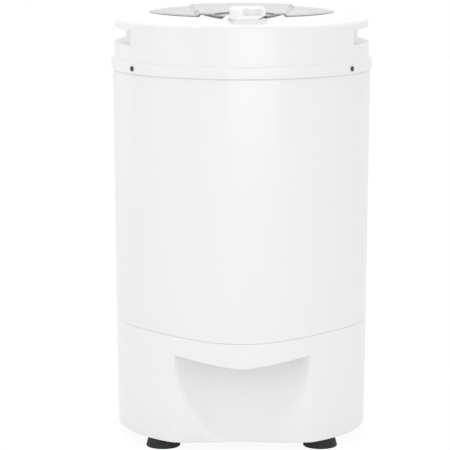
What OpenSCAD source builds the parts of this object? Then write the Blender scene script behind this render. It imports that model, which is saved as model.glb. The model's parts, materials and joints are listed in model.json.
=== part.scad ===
// Upright laundry spin dryer. A round cabinet holds a fixed water tub, and in it a perforated
// basket spins on the shaft of a motor that sways on three rubber mounts. A hinged lid closes the
// mouth, and a turn latch on the cover holds the lid and takes the brake off the shaft.
// Origin: centre of the footprint, on the floor. +Z up, front at -Y, millimetres.

/* [Base] */
// Height of a foot, which is the gap under the base
foot_h = 14; // [10:1:24]
// Height of the base from its lower edge to the seam
base_h = 151; // [148:1:175]
// Radius of the cabinet at the seam between base and casing
seam_r = 175.5; // [173:0.5:185]
// How much narrower the base is at its lower edge
base_taper = 1.8; // [0:0.2:4]
// Wall of the base
base_wall = 3; // [2.5:0.1:4]
// How far the seam dips at the middle of the front
seam_dip = 8.4; // [4:0.2:12]
// Half the width of the dip in the seam
seam_dip_reach = 108; // [80:1:130]
// Height of the spigot that the casing slips over
spigot_h = 14; // [11:0.5:20]
// Radius of the opening in the floor of the base
base_opening_r = 92; // [84:1:100]

/* [Niche] */
// Half the width of the niche
niche_half_w = 93.5; // [80:0.5:96]
// Height of the niche's rim above the base's lower edge, at the middle
niche_rim_h = 108; // [90:1:112]
// Rise of the rim to each side, as a slope
niche_rim_slope = 0.175; // [0.1:0.005:0.2]
// Height of the niche's ceiling above the base's lower edge
niche_ceiling_h = 126; // [122:1:128]
// Radius across the scooped back of the niche
niche_scoop_r = 130; // [110:1:150]
// Depth of the scoop at the base's lower edge
niche_foot_scoop = 6; // [3:0.5:10]

/* [Casing] */
// Height of the casing from the seam to its top edge
casing_h = 358; // [330:1:400]
// How much wider the casing is at its top
casing_flare = 3; // [0:0.2:6]
// Wall of the casing
casing_wall = 2.4; // [2:0.1:3]

/* [Cover] */
// How far the cover's band laps down over the casing
band_lap = 10; // [8.5:0.5:14]
// Wall of the band
band_wall = 1.8; // [1.5:0.1:2.5]
// Height of the cover from the band's top to the crown beside the lid
cover_h = 62; // [60:1:70]
// Setback of the cover's wall behind the band
band_step = 3.6; // [2:0.2:6]
// How much narrower the cover's wall is at its top
cover_taper = 1.7; // [0:0.1:4]
// Wall of the cover
cover_wall = 2.6; // [2:0.1:3.2]
// Fall of the crown from the lid's seat to the outer edge
crown_fall = 7.5; // [5:0.5:9]
// Radius of the rounded outer edge
crown_round = 4; // [2:0.5:5]
// Rise of the platform that carries on from the lid's raised strip
platform_rise = 3; // [2:0.2:4]
// Half the width of that platform at the front edge
platform_front_half_w = 54; // [48:1:60]
// Half its width at the rear edge
platform_rear_half_w = 79; // [70:1:90]
// Depth of the finger dish in front of the lid
dish_depth = 6; // [5.5:0.5:7]
// Radius of the mouth that laundry goes in through
mouth_r = 102; // [96:0.5:103]
// Wall of the collar round the mouth
mouth_wall = 2.5; // [2:0.1:3.5]
// Depth of the collar's lip below the lid's seat
lip_drop = 47; // [45.5:0.5:52]
// Height of a hand grip's opening
grip_h = 20; // [16:0.5:24]
// Distance from the band's top up to a hand grip
grip_rise = 22.5; // [16:0.5:26]
// Depth of a hand grip
grip_depth = 16; // [12:0.5:17]
// Half the angle that a hand grip spans
grip_half_angle = 31; // [24:1:36]

/* [Lid] */
// Radius of the lid
lid_r = 126; // [122:0.5:127]
// Gap all round the lid
lid_gap = 2.5; // [1.5:0.1:3]
// Depth of the lid's seat below the crown
seat_drop = 7; // [6:0.5:8]
// Thickness of the lid's plate
lid_t = 3; // [2.5:0.1:3.5]
// Height of the lid's edge above the crown
lid_proud = 2; // [1:0.2:3]
// Thickness of the floor of the lid's cup behind the latch
lid_cup_t = 2; // [1.8:0.1:2.4]
// Angle to which the lid opens
lid_swing = 95; // [85:1:100]
// Radius of the round recess in the lid's strip
well_r = 42; // [38:0.5:44]
// Distance of that recess's centre in front of the axis
well_y = 122; // [118:0.5:124]
// Radius of the hinge pin
hinge_pin_r = 2.2; // [1.8:0.1:2.6]

/* [Latch] */
// Distance of the latch in front of the axis
latch_y = 146; // [144:0.5:150]
// Distance of the latch to the right of the axis
latch_x = 7; // [2:0.5:10]
// Length of the knob
knob_l = 48; // [40:1:52]
// Width of the knob
knob_w = 37; // [32:1:38]
// Height of the knob
knob_h = 15.5; // [12:0.5:20]
// Reach of the tongue from the latch's axis
tongue_reach = 24; // [23:0.5:25]
// Radius of the latch's spindle
spindle_r = 5; // [4:0.5:6]

/* [Tub] */
// Inner radius of the tub
tub_r = 149.5; // [144:0.5:151]
// Wall of the tub
tub_wall = 2.5; // [2:0.1:3]
// Height of the tub's underside above the seam
tub_rise = 8; // [8:0.5:14]
// Thickness of the tub's flange
tub_flange_t = 3; // [2.5:0.1:4]
// Bore of the drain
drain_bore_r = 8; // [6:0.5:9]
// Wall of the drain nipples
drain_wall = 2.4; // [2:0.1:3]
// Length of the spout's nozzle from its bend to its end
nozzle_l = 22; // [16:1:23]
// Setback of the nozzle's outside from that of the pipe above it
nozzle_step = 0.4; // [0.2:0.1:0.8]
// Length of the bend down to the collar that stops a hose
nozzle_stop_l = 5; // [4.5:0.5:8]

/* [Basket] */
// Outer radius of the basket
basket_r = 128; // [120:0.5:130]
// Height of the basket from its floor to its top flange
basket_h = 306; // [280:1:312]
// Thickness of the basket's sheet
basket_t = 1.2; // [1:0.1:1.6]
// Radius of a hole in the basket
hole_r = 2.6; // [2:0.1:4]
// Number of holes in a row
hole_columns = 16; // [8:2:20]
// Number of rows of holes
hole_rows = 8; // [4:1:10]
// Height of the balance ring
balance_h = 20; // [16:1:22]
// Width of the balance ring
balance_w = 16; // [14:0.5:19]

/* [Motor] */
// Radius of the motor's can
motor_r = 60; // [56:1:64]
// Height of the motor's can
motor_h = 60; // [50:1:62]
// Radius of the shaft
shaft_r = 7; // [6:0.5:8]
// Height of the suspension plate above the base's lower edge
plate_rise = 108; // [107:1:112]
// Distance of the mounts from the axis
mount_ring_r = 125; // [120:1:130]
// Radius of a rubber mount
rubber_r = 13; // [11:0.5:15]
// Height of a rubber mount
rubber_h = 22; // [16:1:30]
// Radius of the brake drum
drum_r = 34; // [30:0.5:38]
// Angle that the brake arm swings through
brake_swing = 9; // [6:0.5:12]

/* [Screws and fits] */
// Shank radius of the cover, casing and tub screws
screw_r = 1.9; // [1.5:0.1:2.2]
// Head radius of those screws
screw_head_r = 3.5; // [3:0.1:4]
// Shank radius of the foot and mount bolts
bolt_r = 2.5; // [2:0.1:3]
// Running clearance round a pin or shaft
run_gap = 0.08; // [0.05:0.01:0.1]
// Gap between pieces that pass each other
part_gap = 0.5; // [0.3:0.1:0.8]
// Widening of a hole that a screw passes through
hole_gap = 0.3; // [0.2:0.05:0.5]

/* [Hidden] */
$fn = 96;
far = 400;

// Heights up the cabinet
base_z = foot_h;
seam_z = base_z + base_h;
casing_top_z = seam_z + casing_h;
band_z = casing_top_z - band_lap;
flange_z = casing_top_z + tub_flange_t;
shoulder_z = flange_z + 2;
crown_z = shoulder_z + cover_h;
crown_edge_z = crown_z - crown_fall;
seat_z = crown_z - seat_drop;
seat_floor_z = seat_z - 3;
lid_edge_z = crown_z + lid_proud;
lid_rest_z = seat_z + 0.3;
lip_z = seat_z - lip_drop;
ceiling_z = base_z + niche_ceiling_h;
rim_z = base_z + niche_rim_h;

// Radii of the cabinet
base_low_r = seam_r - base_taper;
casing_top_r = seam_r + casing_flare;
spigot_r = seam_r - casing_wall - 0.3;
spigot_wall = 3;
band_in_r = casing_top_r + 0.2;
band_r = band_in_r + band_wall;
cover_low_r = band_r - band_step;
cover_top_r = cover_low_r - cover_taper;
crown_edge_r = cover_top_r - crown_round;
seat_r = lid_r + lid_gap;
crown_slope = crown_fall / (crown_edge_r - seat_r);
dish_z = crown_z + platform_rise - dish_depth;
dish_r = (platform_front_half_w * platform_front_half_w + dish_depth * dish_depth) / (2 * dish_depth);
collar_in_r = seat_r + 5;
collar_r = collar_in_r + 2.5;
grip_r = cover_top_r - grip_depth + 1;
grip_z = shoulder_z + grip_rise;

// Places of the fasteners and mounts
foot_top_r = 20.5;
foot_low_r = 23.5;
foot_recess_r = 7;
foot_recess_h = foot_h - 7;
foot_boss_h = 18;
foot_ring_r = base_low_r - foot_low_r;
foot_angles = [44, 136, 224, 316];
cover_screw_angles = [35, 145, 215, 325];
cover_screw_z = (band_z + casing_top_z) / 2 + 2;
casing_screw_angles = [20, 70, 110, 160];
casing_screw_z = seam_z + spigot_h / 2 + 1;
mount_angles = [90, 210, 330];
post_r = 10;
through_r = screw_r + hole_gap;
screw_bite = 5;
cover_head_h = 1.8;
cover_head_sink = 0.7;
gland_r = 6.5;
gland_angle = 72;
gland_z = base_z + 34;
capacitor_r = 17;
capacitor_angle = 166;
capacitor_top_z = base_z + 62;
capacitor_ring_r = base_low_r - base_wall - 42.7;
terminal_angle = 12;
terminal_ring_r = base_low_r - base_wall - 40.7;

// The drain runs straight down from the tub's floor through the niche's ceiling, and its nozzle
// then leans forward beside the niche's back
drain_y = tub_r - 23.5;
drain_out_r = drain_bore_r + drain_wall;
drain_sleeve_r = drain_out_r + 2.5;
tub_z = seam_z + tub_rise;
nozzle_r = drain_out_r - nozzle_step;
nipple_l = 14;
nipple_z = tub_z - nipple_l;
spout_top_z = nipple_z - 2;
bend_z = ceiling_z - 3;
elbow_step = 0.4;

// The niche's back is a tilted cylinder behind the chord between the niche's side edges
niche_chord_y = sqrt(base_low_r * base_low_r - niche_half_w * niche_half_w);
niche_back_y = drain_y - 25;
niche_tilt = atan2(niche_chord_y - niche_foot_scoop - niche_back_y, niche_ceiling_h);

// Heights of the motor and of what spins
plate_z = base_z + plate_rise;
plate_t = 3;
neck_flange_z = plate_z + plate_t;
neck_r = 17;
tub_neck_r = 42;
neck_top_z = tub_z + 27;
shield_t = 9;
can_top_z = plate_z - shield_t;
can_z = can_top_z - motor_h;
shield_z = can_z - shield_t;
bearing_r = 14;
bearing_t = 10;
hub_z = neck_top_z + 3;
basket_z = hub_z + 8;
basket_top_z = basket_z + basket_h;
cone_rise = 13;
cone_top_r = 30;
cone_low_r = 46;
cone_top_z = basket_z + basket_t + cone_rise;
drum_z = base_z + 8;
drum_h = 12;
fan_z = drum_z + drum_h + 1;
fan_h = 6;
fan_r = motor_r - 14;
shaft_top_z = cone_top_z + 9;
thread_r = shaft_r - 1.2;
rotor_r = 32.5;
winding_l = 14;
winding_h = 9;
balance_in_r = basket_r - balance_w;

// The brake: the arm turns on a pin outside the fan and carries the lining to the drum
brake_pin_at = [46, 46];
brake_pin_r = 3;
lining_t = 5;
lining_half_angle = 24;
lining_gap = 0.4;
arm_z = drum_z + 3;
arm_t = 6;
arm_end = [62, -40];

// The latch
latch_at = [latch_x, -latch_y];
tongue_play = 2.2;
tongue_z = lid_rest_z + lid_cup_t + tongue_play;
tongue_t = 2.4;
tongue_half_w = 5;
tongue_foot_r = 9;
tongue_gap = 1.5;
tongue_room_z = tongue_z - 0.6;
tongue_room_floor = 3;
knob_z = tongue_z + tongue_t + 0.6;
knob_corner = 11;
knob_sweep_r = norm([knob_l / 2 - knob_corner, knob_w / 2 - knob_corner]) + knob_corner;
well_at = [3, -well_y];
cup_half_w = knob_l / 2 + 0.5;
cup_back_y = latch_y - knob_sweep_r - 4;
cup_wall = 3;
spindle_low_z = seat_floor_z - 26;
latch_room = cover_low_r - cover_wall - latch_y;
latch_lever_l = latch_room - 8;
latch_lobe_l = latch_room - 10;
lobe_half_w = 4;
lobe_sweep_r = norm([lobe_half_w, latch_lobe_l]);
plunger_l = 4;
switch_l = 22;
switch_w = 9;
switch_x = latch_x - lobe_sweep_r - part_gap - plunger_l - switch_l;

// The hinge
hinge_y = seat_r + 7.5;
hinge_z = crown_z - 1.5;
knuckle_r = 4.5;
hinge_half_w = 44;
knuckle_x0 = 16;
knuckle_x1 = 34;

// Route of the brake cable, from the latch's lever down between tub and casing to the brake arm
cable_r = 2.5;
cable_end_x = 86;
cable_clip_at = [152, -55, 100];
cable_hole_at = [97, -131];
cable_route = [
    [latch_x + latch_lever_l + 4, -latch_y, spindle_low_z + 3],
    [46, -148, spindle_low_z + 2],
    [66, -146, spindle_low_z - 3],
    [84, -139, spindle_low_z - 12],
    [94, -133, casing_top_z + 9],
    [cable_hole_at[0], cable_hole_at[1], casing_top_z - 4],
    [98, -130, casing_top_z - 30],
    [102, -127, 440],
    [112, -118, 340],
    [126, -103, 260],
    [141, -82, 190],
    [151, -61, 140],
    cable_clip_at + [0, 0, 18],
    cable_clip_at,
    cable_clip_at - [0, 0, 18],
    [149, -51, 60],
    [138, -45, 41],
    [123, -41, 31],
    [112, -40, arm_z + arm_t / 2 + 0.2],
    [104, -40, arm_z + arm_t / 2],
    [95, -40, arm_z + arm_t / 2],
    [cable_end_x, -40, arm_z + arm_t / 2]];

// ---------- helpers ----------

module ring(r_out, r_in, z0, z1) {
    translate([0, 0, z0]) difference() {
        cylinder(r = r_out, h = z1 - z0);
        translate([0, 0, -1]) cylinder(r = r_in, h = z1 - z0 + 2);
    }
}

module disc(r, z0, z1) {
    translate([0, 0, z0]) cylinder(r = r, h = z1 - z0);
}

// A part of a ring, between two angles
module sector(r_out, r_in, z0, z1, a0, a1) {
    rotate([0, 0, a0]) rotate_extrude(angle = a1 - a0)
        translate([r_in, z0]) square([r_out - r_in, z1 - z0]);
}

// Children are placed at a distance from the axis, at each of the angles
module around(angles, r) {
    for (a = angles) rotate([0, 0, a]) translate([r, 0, 0]) children();
}

// A screw along -X: the head's outer face is at the origin
module radial_screw(head_h, length) {
    rotate([0, -90, 0]) {
        cylinder(r = screw_head_r, h = head_h);
        cylinder(r = screw_r, h = length);
    }
}

// Holes across the cabinet's wall, from a radius outwards
module wall_holes(angles, z, r, from_r, depth) {
    around(angles, from_r) translate([0, 0, z]) rotate([0, 90, 0]) cylinder(r = r, h = depth);
}

function unit(v) = v / norm(v);
function cross_unit(a, b) = unit(cross(a, b));

// One point on a smooth curve through four points
function smooth_point(p, q, r, s, t) =
    0.5 * (2 * q + (r - p) * t + (2 * p - 5 * q + 4 * r - s) * t * t
    + (3 * q - p - 3 * r + s) * t * t * t);
function at_end(points, i) = points[max(0, min(len(points) - 1, i))];
function smooth_path(points, steps) = concat(
    [for (i = [0 : len(points) - 2]) for (k = [0 : steps - 1])
        smooth_point(at_end(points, i - 1), points[i], points[i + 1], at_end(points, i + 2), k / steps)],
    [points[len(points) - 1]]);

// A round tube along a path, as one closed solid
module tube(path, r, sides) {
    rings = len(path);
    guide = unit([0.35, 0.9, 0.25]);
    points = [for (i = [0 : rings - 1])
        let (along = unit(at_end(path, i + 1) - at_end(path, i - 1)),
            side = cross_unit(along, guide), up = cross(along, side))
        for (k = [0 : sides - 1])
            path[i] + r * (cos(360 * k / sides) * side + sin(360 * k / sides) * up)];
    walls = [for (i = [0 : rings - 2]) for (k = [0 : sides - 1])
        let (next = (k + 1) % sides)
        [i * sides + k, i * sides + next, (i + 1) * sides + next, (i + 1) * sides + k]];
    polyhedron(points, concat(walls,
        [[for (k = [sides - 1 : -1 : 0]) k]],
        [[for (k = [0 : sides - 1]) (rings - 1) * sides + k]]), convexity = 10);
}

// ---------- cabinet outline ----------

// Height of the seam at a distance across the front: level, with one long dip in the middle
function seam_at(x) = seam_z - seam_dip * pow(max(0, 1 - pow(x / seam_dip_reach, 2)), 1.2);

// Front outline above or below the seam, as a wall along Y
module seam_side(top, drop) {
    across = seam_r + 10;
    steps = 36;
    curve = [for (i = [0 : steps]) let (x = seam_dip_reach * (2 * i / steps - 1)) [x, seam_at(x) - drop]];
    outline = concat([[-across, top]], [[-across, seam_z - drop]], curve,
        [[across, seam_z - drop]], [[across, top]]);
    rotate([90, 0, 0]) linear_extrude(across) polygon(outline);
    rear_low = min(top, seam_z - drop);
    translate([-across, 0, rear_low]) cube([2 * across, across, abs(top - seam_z + drop)]);
}

module base_form(inset) {
    rotate_extrude() polygon([[0, base_z], [base_low_r - inset - 2, base_z],
        [base_low_r - inset, base_z + 2], [seam_r - inset, seam_z], [0, seam_z]]);
}

// Height of the niche's rim at a distance from the middle: a V with a soft point
function niche_rim_at(x) = rim_z + sqrt(4.8 + pow(niche_rim_slope * x, 2)) - sqrt(4.8);

module niche_scoop(grow) {
    translate([0, -niche_back_y - niche_scoop_r / cos(niche_tilt), ceiling_z])
        rotate([-niche_tilt, 0, 0]) translate([0, 0, -far])
        cylinder(r = niche_scoop_r + grow, h = 2 * far, $fn = 128);
}

// The room of the niche behind the skirt: a flat back with the scoop in it
module niche_room(grow) {
    wide = niche_half_w + grow;
    intersection() {
        union() {
            translate([-wide, -far, base_z - 5]) cube([2 * wide, far - niche_chord_y + grow, far]);
            intersection() {
                niche_scoop(grow);
                translate([-wide, -far, base_z - 5]) cube([2 * wide, far, far]);
            }
        }
        translate([-far, -far, base_z - 5]) cube([2 * far, 2 * far, niche_ceiling_h + 5 + grow]);
    }
}

// The opening in the skirt, up to the rim
module niche_opening() {
    steps = 24;
    curve = [for (i = [0 : steps]) let (x = niche_half_w * (1 - 2 * i / steps)) [x, niche_rim_at(x)]];
    rotate([90, 0, 0]) translate([0, 0, niche_chord_y - 1]) linear_extrude(60)
        polygon(concat([[-niche_half_w, base_z - 5]], [[niche_half_w, base_z - 5]], curve));
}

module foot_places() {
    around(foot_angles, foot_ring_r) children();
}

module base_skirt() {
    color("white") difference() {
        union() {
            difference() {
                base_form(0);
                translate([0, 0, -1]) base_form(base_wall);
                disc(seam_r - base_wall, seam_z - 5, seam_z + 1);
            }
            intersection() {
                niche_room(base_wall);
                base_form(1);
            }
            intersection() {
                union() {
                    ring(seam_r, base_opening_r, base_z, base_z + base_wall);
                    ring(base_opening_r + 2.5, base_opening_r, base_z, base_z + 12);
                    foot_places() disc(foot_top_r + 1, base_z, base_z + 5);
                    foot_places() disc(8, base_z, base_z + foot_boss_h);
                    for (a = foot_angles) rotate([0, 0, a])
                        translate([foot_ring_r, -1.2, base_z]) cube([seam_r - foot_ring_r, 2.4, 30]);
                    for (a = mount_angles) rotate([0, 0, a])
                        translate([mount_ring_r, -1.2, base_z])
                        cube([seam_r - mount_ring_r, 2.4, plate_rise - rubber_h - 12]);
                }
                base_form(1);
            }
            around(mount_angles, mount_ring_r) disc(post_r, base_z, plate_z - rubber_h);
            ring(spigot_r, spigot_r - spigot_wall, seam_z - seam_dip - 8, seam_z + spigot_h);
            ring(seam_r - 1, spigot_r - spigot_wall, seam_z - seam_dip - 8, seam_z - seam_dip - 1);
        }
        // The niche behind the skirt and through it
        intersection() {
            niche_room(0);
            translate([0, 0, -1]) base_form(base_wall);
        }
        niche_opening();
        // The casing's edge sits on the wall, with a fine groove outside
        intersection() {
            seam_side(seam_z + 1, 0);
            ring(seam_r + 5, spigot_r, base_z, seam_z + 2);
        }
        intersection() {
            seam_side(seam_z + 1, 0.9);
            ring(seam_r + 5, seam_r - 1.2, base_z, seam_z + 2);
        }
        foot_places() disc(bolt_r, base_z - 1, base_z + foot_boss_h - 1);
        around(mount_angles, mount_ring_r) disc(bolt_r, plate_z - rubber_h - 14, plate_z);
        translate([0, -drain_y, 0]) disc(drain_out_r, ceiling_z - 5, ceiling_z + 10);
        wall_holes(casing_screw_angles, casing_screw_z, screw_r, spigot_r - spigot_wall - 5, 15);
        gland_place() rotate([0, -90, 0]) translate([0, 0, -20]) cylinder(r = gland_r, h = 60);
        // Cooling slots low at the rear
        for (i = [-5 : 5]) rotate([0, 0, 90 + 4 * i]) if (abs(i) > 1)
            translate([base_low_r - 20, -2, base_z + 62]) cube([40, 4, 46]);
    }
}

module foot() {
    color([0.09, 0.09, 0.09]) difference() {
        rotate_extrude() polygon([[0, 0], [foot_low_r - 1, 0], [foot_low_r, 1],
            [foot_low_r - 0.4, 3], [foot_top_r, foot_h - 1.5], [foot_top_r - 1, foot_h], [0, foot_h]]);
        disc(foot_recess_r, -1, foot_recess_h);
        disc(bolt_r, -1, foot_h + 1);
    }
}

module foot_at(i) {
    around([foot_angles[i]], foot_ring_r) foot();
}

module foot_screws() {
    head_h = 3.5;
    color([0.6, 0.6, 0.62]) foot_places() {
        disc(foot_recess_r - 1.5, foot_recess_h - head_h, foot_recess_h);
        disc(bolt_r, foot_recess_h - head_h, base_z + foot_boss_h - 2);
    }
}

// ---------- casing ----------

module casing() {
    color("white") difference() {
        rotate_extrude() polygon([[seam_r - casing_wall, seam_z - seam_dip - 1],
            [seam_r, seam_z - seam_dip - 1], [seam_r, seam_z], [casing_top_r, casing_top_z],
            [casing_top_r - casing_wall, casing_top_z], [seam_r - casing_wall, seam_z]]);
        seam_side(seam_z - seam_dip - 3, 0);
        wall_holes(casing_screw_angles, casing_screw_z, through_r, seam_r - 10, 20);
        wall_holes(cover_screw_angles, cover_screw_z, through_r, casing_top_r - 10, 20);
    }
}

module casing_screws() {
    head_h = 1.6;
    // The head's rim stands this far off, because the casing widens upwards
    head_gap = casing_flare * screw_head_r / casing_h;
    skin_r = seam_r + casing_flare * (casing_screw_z - seam_z) / casing_h + head_gap;
    color([0.75, 0.75, 0.76]) around(casing_screw_angles, skin_r + head_h)
        translate([0, 0, casing_screw_z]) radial_screw(head_h, head_h + 8);
}

// ---------- top cover ----------

// Height of the crown's surface at a radius, raised by a step
function crown_at(r, step) = crown_z + step - crown_slope * (r - seat_r);

function cover_section() = concat(
    [[band_in_r, band_z], [band_r, band_z], [band_r, shoulder_z - 1.6],
        [band_r - 0.5, shoulder_z - 0.5], [band_r - 1.6, shoulder_z], [cover_low_r, shoulder_z],
        [cover_top_r, crown_edge_z - crown_round]],
    [for (a = [15 : 15 : 75]) [crown_edge_r + crown_round * cos(a),
        crown_edge_z - crown_round + crown_round * sin(a)]],
    [[crown_edge_r, crown_edge_z], [seat_r + 1.5, crown_at(seat_r + 1.5, 0)], [seat_r, crown_z - 1.5],
        [seat_r, seat_z], [mouth_r + mouth_wall, seat_z], [mouth_r + mouth_wall, seat_floor_z],
        [collar_in_r, seat_floor_z],
        [collar_in_r, flange_z - 6], [collar_r, flange_z - 6], [collar_r, crown_at(collar_r, -cover_wall)],
        [crown_edge_r, crown_edge_z - cover_wall], [cover_top_r - cover_wall, crown_edge_z - crown_round],
        [cover_low_r - cover_wall, flange_z], [band_in_r, flange_z]]);

// The crown's outer form inside the wall, used to trim what stands up to the crown
module under_crown(step) {
    rotate_extrude() polygon([[0, seat_floor_z - 12], [cover_top_r - 0.5, seat_floor_z - 12],
        [cover_top_r - 0.5, crown_edge_z - crown_round], [crown_edge_r, crown_edge_z + 0.4 * step],
        [seat_r, crown_z + step], [0, crown_z + step]]);
}

// Half the width of the raised strip at a distance along Y
function strip_half_w(y) = platform_front_half_w
    + (platform_rear_half_w - platform_front_half_w) * (y + crown_edge_r) / (2 * crown_edge_r);

module strip(z0, z1, inset) {
    y1 = crown_edge_r + 3;
    translate([0, 0, z0]) linear_extrude(z1 - z0) polygon([
        [-strip_half_w(-y1) + inset, -y1], [strip_half_w(-y1) - inset, -y1],
        [strip_half_w(y1) - inset, y1], [-strip_half_w(y1) + inset, y1]]);
}

module platform() {
    intersection() {
        difference() {
            under_crown(platform_rise);
            disc(seat_r, seat_floor_z - 20, crown_z + 20);
            under_crown(-1);
        }
        strip(crown_edge_z - 10, crown_z + 10, 0);
    }
}

module grip_pocket(wall) {
    sector(cover_top_r - 1 + (wall > 0 ? 0 : 20), grip_r - wall, grip_z - wall, grip_z + grip_h + wall,
        -grip_half_angle - (wall > 0 ? 1 : 0), grip_half_angle + (wall > 0 ? 1 : 0));
}

module well(r, z0, z1) {
    translate([well_at[0], well_at[1], 0]) disc(r, z0, z1);
}

// A shallow dish for the fingers, lowest at the lid's front edge
module dish(grow) {
    translate([0, -seat_r, dish_z + dish_r]) sphere(r = dish_r + grow, $fn = 180);
}

// The flat room round the latch's foot, where its tongue turns
module tongue_room(grow, z0, z1) {
    translate([latch_at[0], latch_at[1], 0]) {
        disc(tongue_foot_r + tongue_gap + grow, z0, z1);
        side = tongue_half_w + tongue_gap + grow;
        intersection() {
            disc(tongue_reach + tongue_gap + grow, z0, z1);
            translate([side - far, -side, z0]) cube([far, far, z1 - z0]);
        }
    }
}

module hinge_box(half_w, y0, y1, z0, z1) {
    translate([-half_w, y0, z0]) cube([2 * half_w, y1 - y0, z1 - z0]);
}

module knuckle(x0, x1, r, low_z) {
    translate([x0, hinge_y, hinge_z]) rotate([0, 90, 0]) cylinder(r = r, h = x1 - x0);
    translate([x0, hinge_y - r, low_z]) cube([x1 - x0, 2 * r, hinge_z - low_z]);
}

module top_cover() {
    color("white") difference() {
        union() {
            rotate_extrude($fn = 128) polygon(cover_section());
            platform();
            for (side = [0, 180]) rotate([0, 0, side]) grip_pocket(cover_wall);
            // Material under the finger dish, the latch and the hinge pocket
            intersection() {
                difference() {
                    union() {
                        dish(cover_wall);
                        tongue_room(tongue_room_floor, tongue_room_z - tongue_room_floor, crown_z);
                        translate([latch_at[0], latch_at[1], 0]) disc(spindle_r + 4, seat_floor_z, crown_z);
                        // The block that the interlock switch hangs from
                        translate([switch_x, -latch_y - 5, seat_floor_z])
                            cube([switch_l, switch_w, dish_z - seat_floor_z]);
                        hinge_box(hinge_half_w + 4, 110, hinge_y + 12, seat_floor_z, crown_z + 5);
                    }
                    disc(seat_r, seat_floor_z - 1, crown_z + 10);
                }
                union() {
                    under_crown(0);
                    intersection() {
                        under_crown(platform_rise);
                        strip(crown_edge_z - 10, crown_z + 10, 0);
                    }
                }
            }
        }
        for (side = [0, 180]) rotate([0, 0, side]) grip_pocket(0);
        dish(0);
        tongue_room(0, tongue_room_z, crown_z + 10);
        difference() {
            hinge_box(hinge_half_w, 110, hinge_y + 8, seat_z, crown_z + 10);
            knuckle(-knuckle_x0 + part_gap, knuckle_x0 - part_gap, knuckle_r, seat_z - 1);
        }
        translate([-hinge_half_w - 3, hinge_y, hinge_z]) rotate([0, 90, 0])
            cylinder(r = hinge_pin_r, h = 2 * hinge_half_w + 6);
        translate([latch_at[0], latch_at[1], 0]) disc(spindle_r + run_gap, seat_floor_z - 20, tongue_z);
        wall_holes(cover_screw_angles, cover_screw_z, through_r, band_in_r - 5, 10);
        wall_holes(cover_screw_angles, cover_screw_z, screw_head_r + hole_gap, band_r - cover_head_sink, 5);
    }
}

// The ring that hangs in the cover's mouth, with its flange under the seat
module mouth_collar() {
    out_r = mouth_r + mouth_wall;
    color("white") rotate_extrude($fn = 128) polygon([[mouth_r, lip_z + 1], [mouth_r + 1, lip_z],
        [out_r + 1.2, lip_z], [out_r + 1.2, lip_z + 3], [out_r, lip_z + 4.5], [out_r, seat_floor_z - 3],
        [out_r + 8, seat_floor_z - 3], [out_r + 8, seat_floor_z], [out_r, seat_floor_z],
        [out_r, seat_z], [mouth_r + 1.5, seat_z], [mouth_r, seat_z - 1.5]]);
}

module cover_screws() {
    stand_out = cover_head_h - cover_head_sink;
    tab_r = casing_top_r - casing_wall;
    color([0.12, 0.12, 0.12]) around(cover_screw_angles, band_r + stand_out)
        translate([0, 0, cover_screw_z])
        radial_screw(cover_head_h, band_r + stand_out - tab_r + screw_bite);
}

module hinge_pin() {
    color([0.7, 0.7, 0.72]) translate([-hinge_half_w - 3, hinge_y, hinge_z]) rotate([0, 90, 0])
        cylinder(r = hinge_pin_r, h = 2 * hinge_half_w + 6);
}

// ---------- tub and drain ----------

module water_tub() {
    out_r = tub_r + tub_wall;
    casing_in_r = casing_top_r - casing_wall;
    color([0.86, 0.88, 0.9]) difference() {
        union() {
            rotate_extrude() polygon(concat(
                [[tub_neck_r, tub_z + 18], [tub_neck_r + 2.5, tub_z + 18], [58, tub_z + tub_wall]],
                [[tub_r - 10, tub_z + tub_wall]],
                [for (a = [-75 : 15 : -15]) [tub_r - 10 + 10 * cos(a),
                    tub_z + tub_wall + 10 + 10 * sin(a)]],
                [[tub_r, tub_z + tub_wall + 10], [tub_r, flange_z], [casing_top_r - 0.3, flange_z],
                    [casing_top_r - 0.3, casing_top_z], [out_r, casing_top_z], [out_r, tub_z + 12]],
                [for (a = [-15 : -15 : -75]) [out_r - 12 + 12 * cos(a), tub_z + 12 + 12 * sin(a)]],
                [[out_r - 12, tub_z], [56, tub_z], [tub_neck_r, tub_z + 15]]));
            translate([0, -drain_y, 0]) disc(drain_out_r, nipple_z, tub_z + 1);
            // Tabs inside the casing that the cover screws bite into
            for (a = cover_screw_angles) rotate([0, 0, a])
                translate([casing_in_r - 7.5, -7, band_z - 2])
                cube([7, 14, casing_top_z - band_z + 3]);
            // Ribs under the flange, out to the middle of the gap
            for (a = [20 : 45 : 335]) rotate([0, 0, a]) translate([out_r - 0.5, -1.2, casing_top_z - 18])
                cube([(casing_in_r - out_r) / 2 + 0.5, 2.4, 19]);
        }
        translate([0, -drain_y, 0]) disc(drain_bore_r, nipple_z - 1, tub_z + 5);
        translate([cable_hole_at[0], cable_hole_at[1], 0])
            disc(cable_r + 2, casing_top_z - 1, flange_z + 1);
        wall_holes(cover_screw_angles, cover_screw_z, screw_r,
            casing_in_r - screw_bite - 0.8, screw_bite + 5);
    }
}

module tub_seal() {
    color([0.15, 0.15, 0.15])
        ring(cover_low_r - cover_wall - 2, cover_low_r - cover_wall - 8, flange_z, flange_z + 4);
}

module shaft_gaiter() {
    low = tub_z + 15;
    color([0.12, 0.12, 0.12]) rotate_extrude() polygon([
        [neck_r, low - 6], [neck_r + 2, low - 6], [neck_r + 4, low + 1], [neck_r + 9, low - 5],
        [neck_r + 14, low + 1], [neck_r + 19, low - 4], [tub_neck_r, low], [tub_neck_r, low + 3],
        [tub_neck_r + 5, low + 3], [tub_neck_r + 4, low + 5.5],
        [tub_neck_r - 2, low + 5.5], [neck_r + 18, low - 1], [neck_r + 14, low + 4], [neck_r + 9, low - 2],
        [neck_r + 5, low + 4], [neck_r + 2, low + 3], [neck_r, low + 3]]);
}

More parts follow.
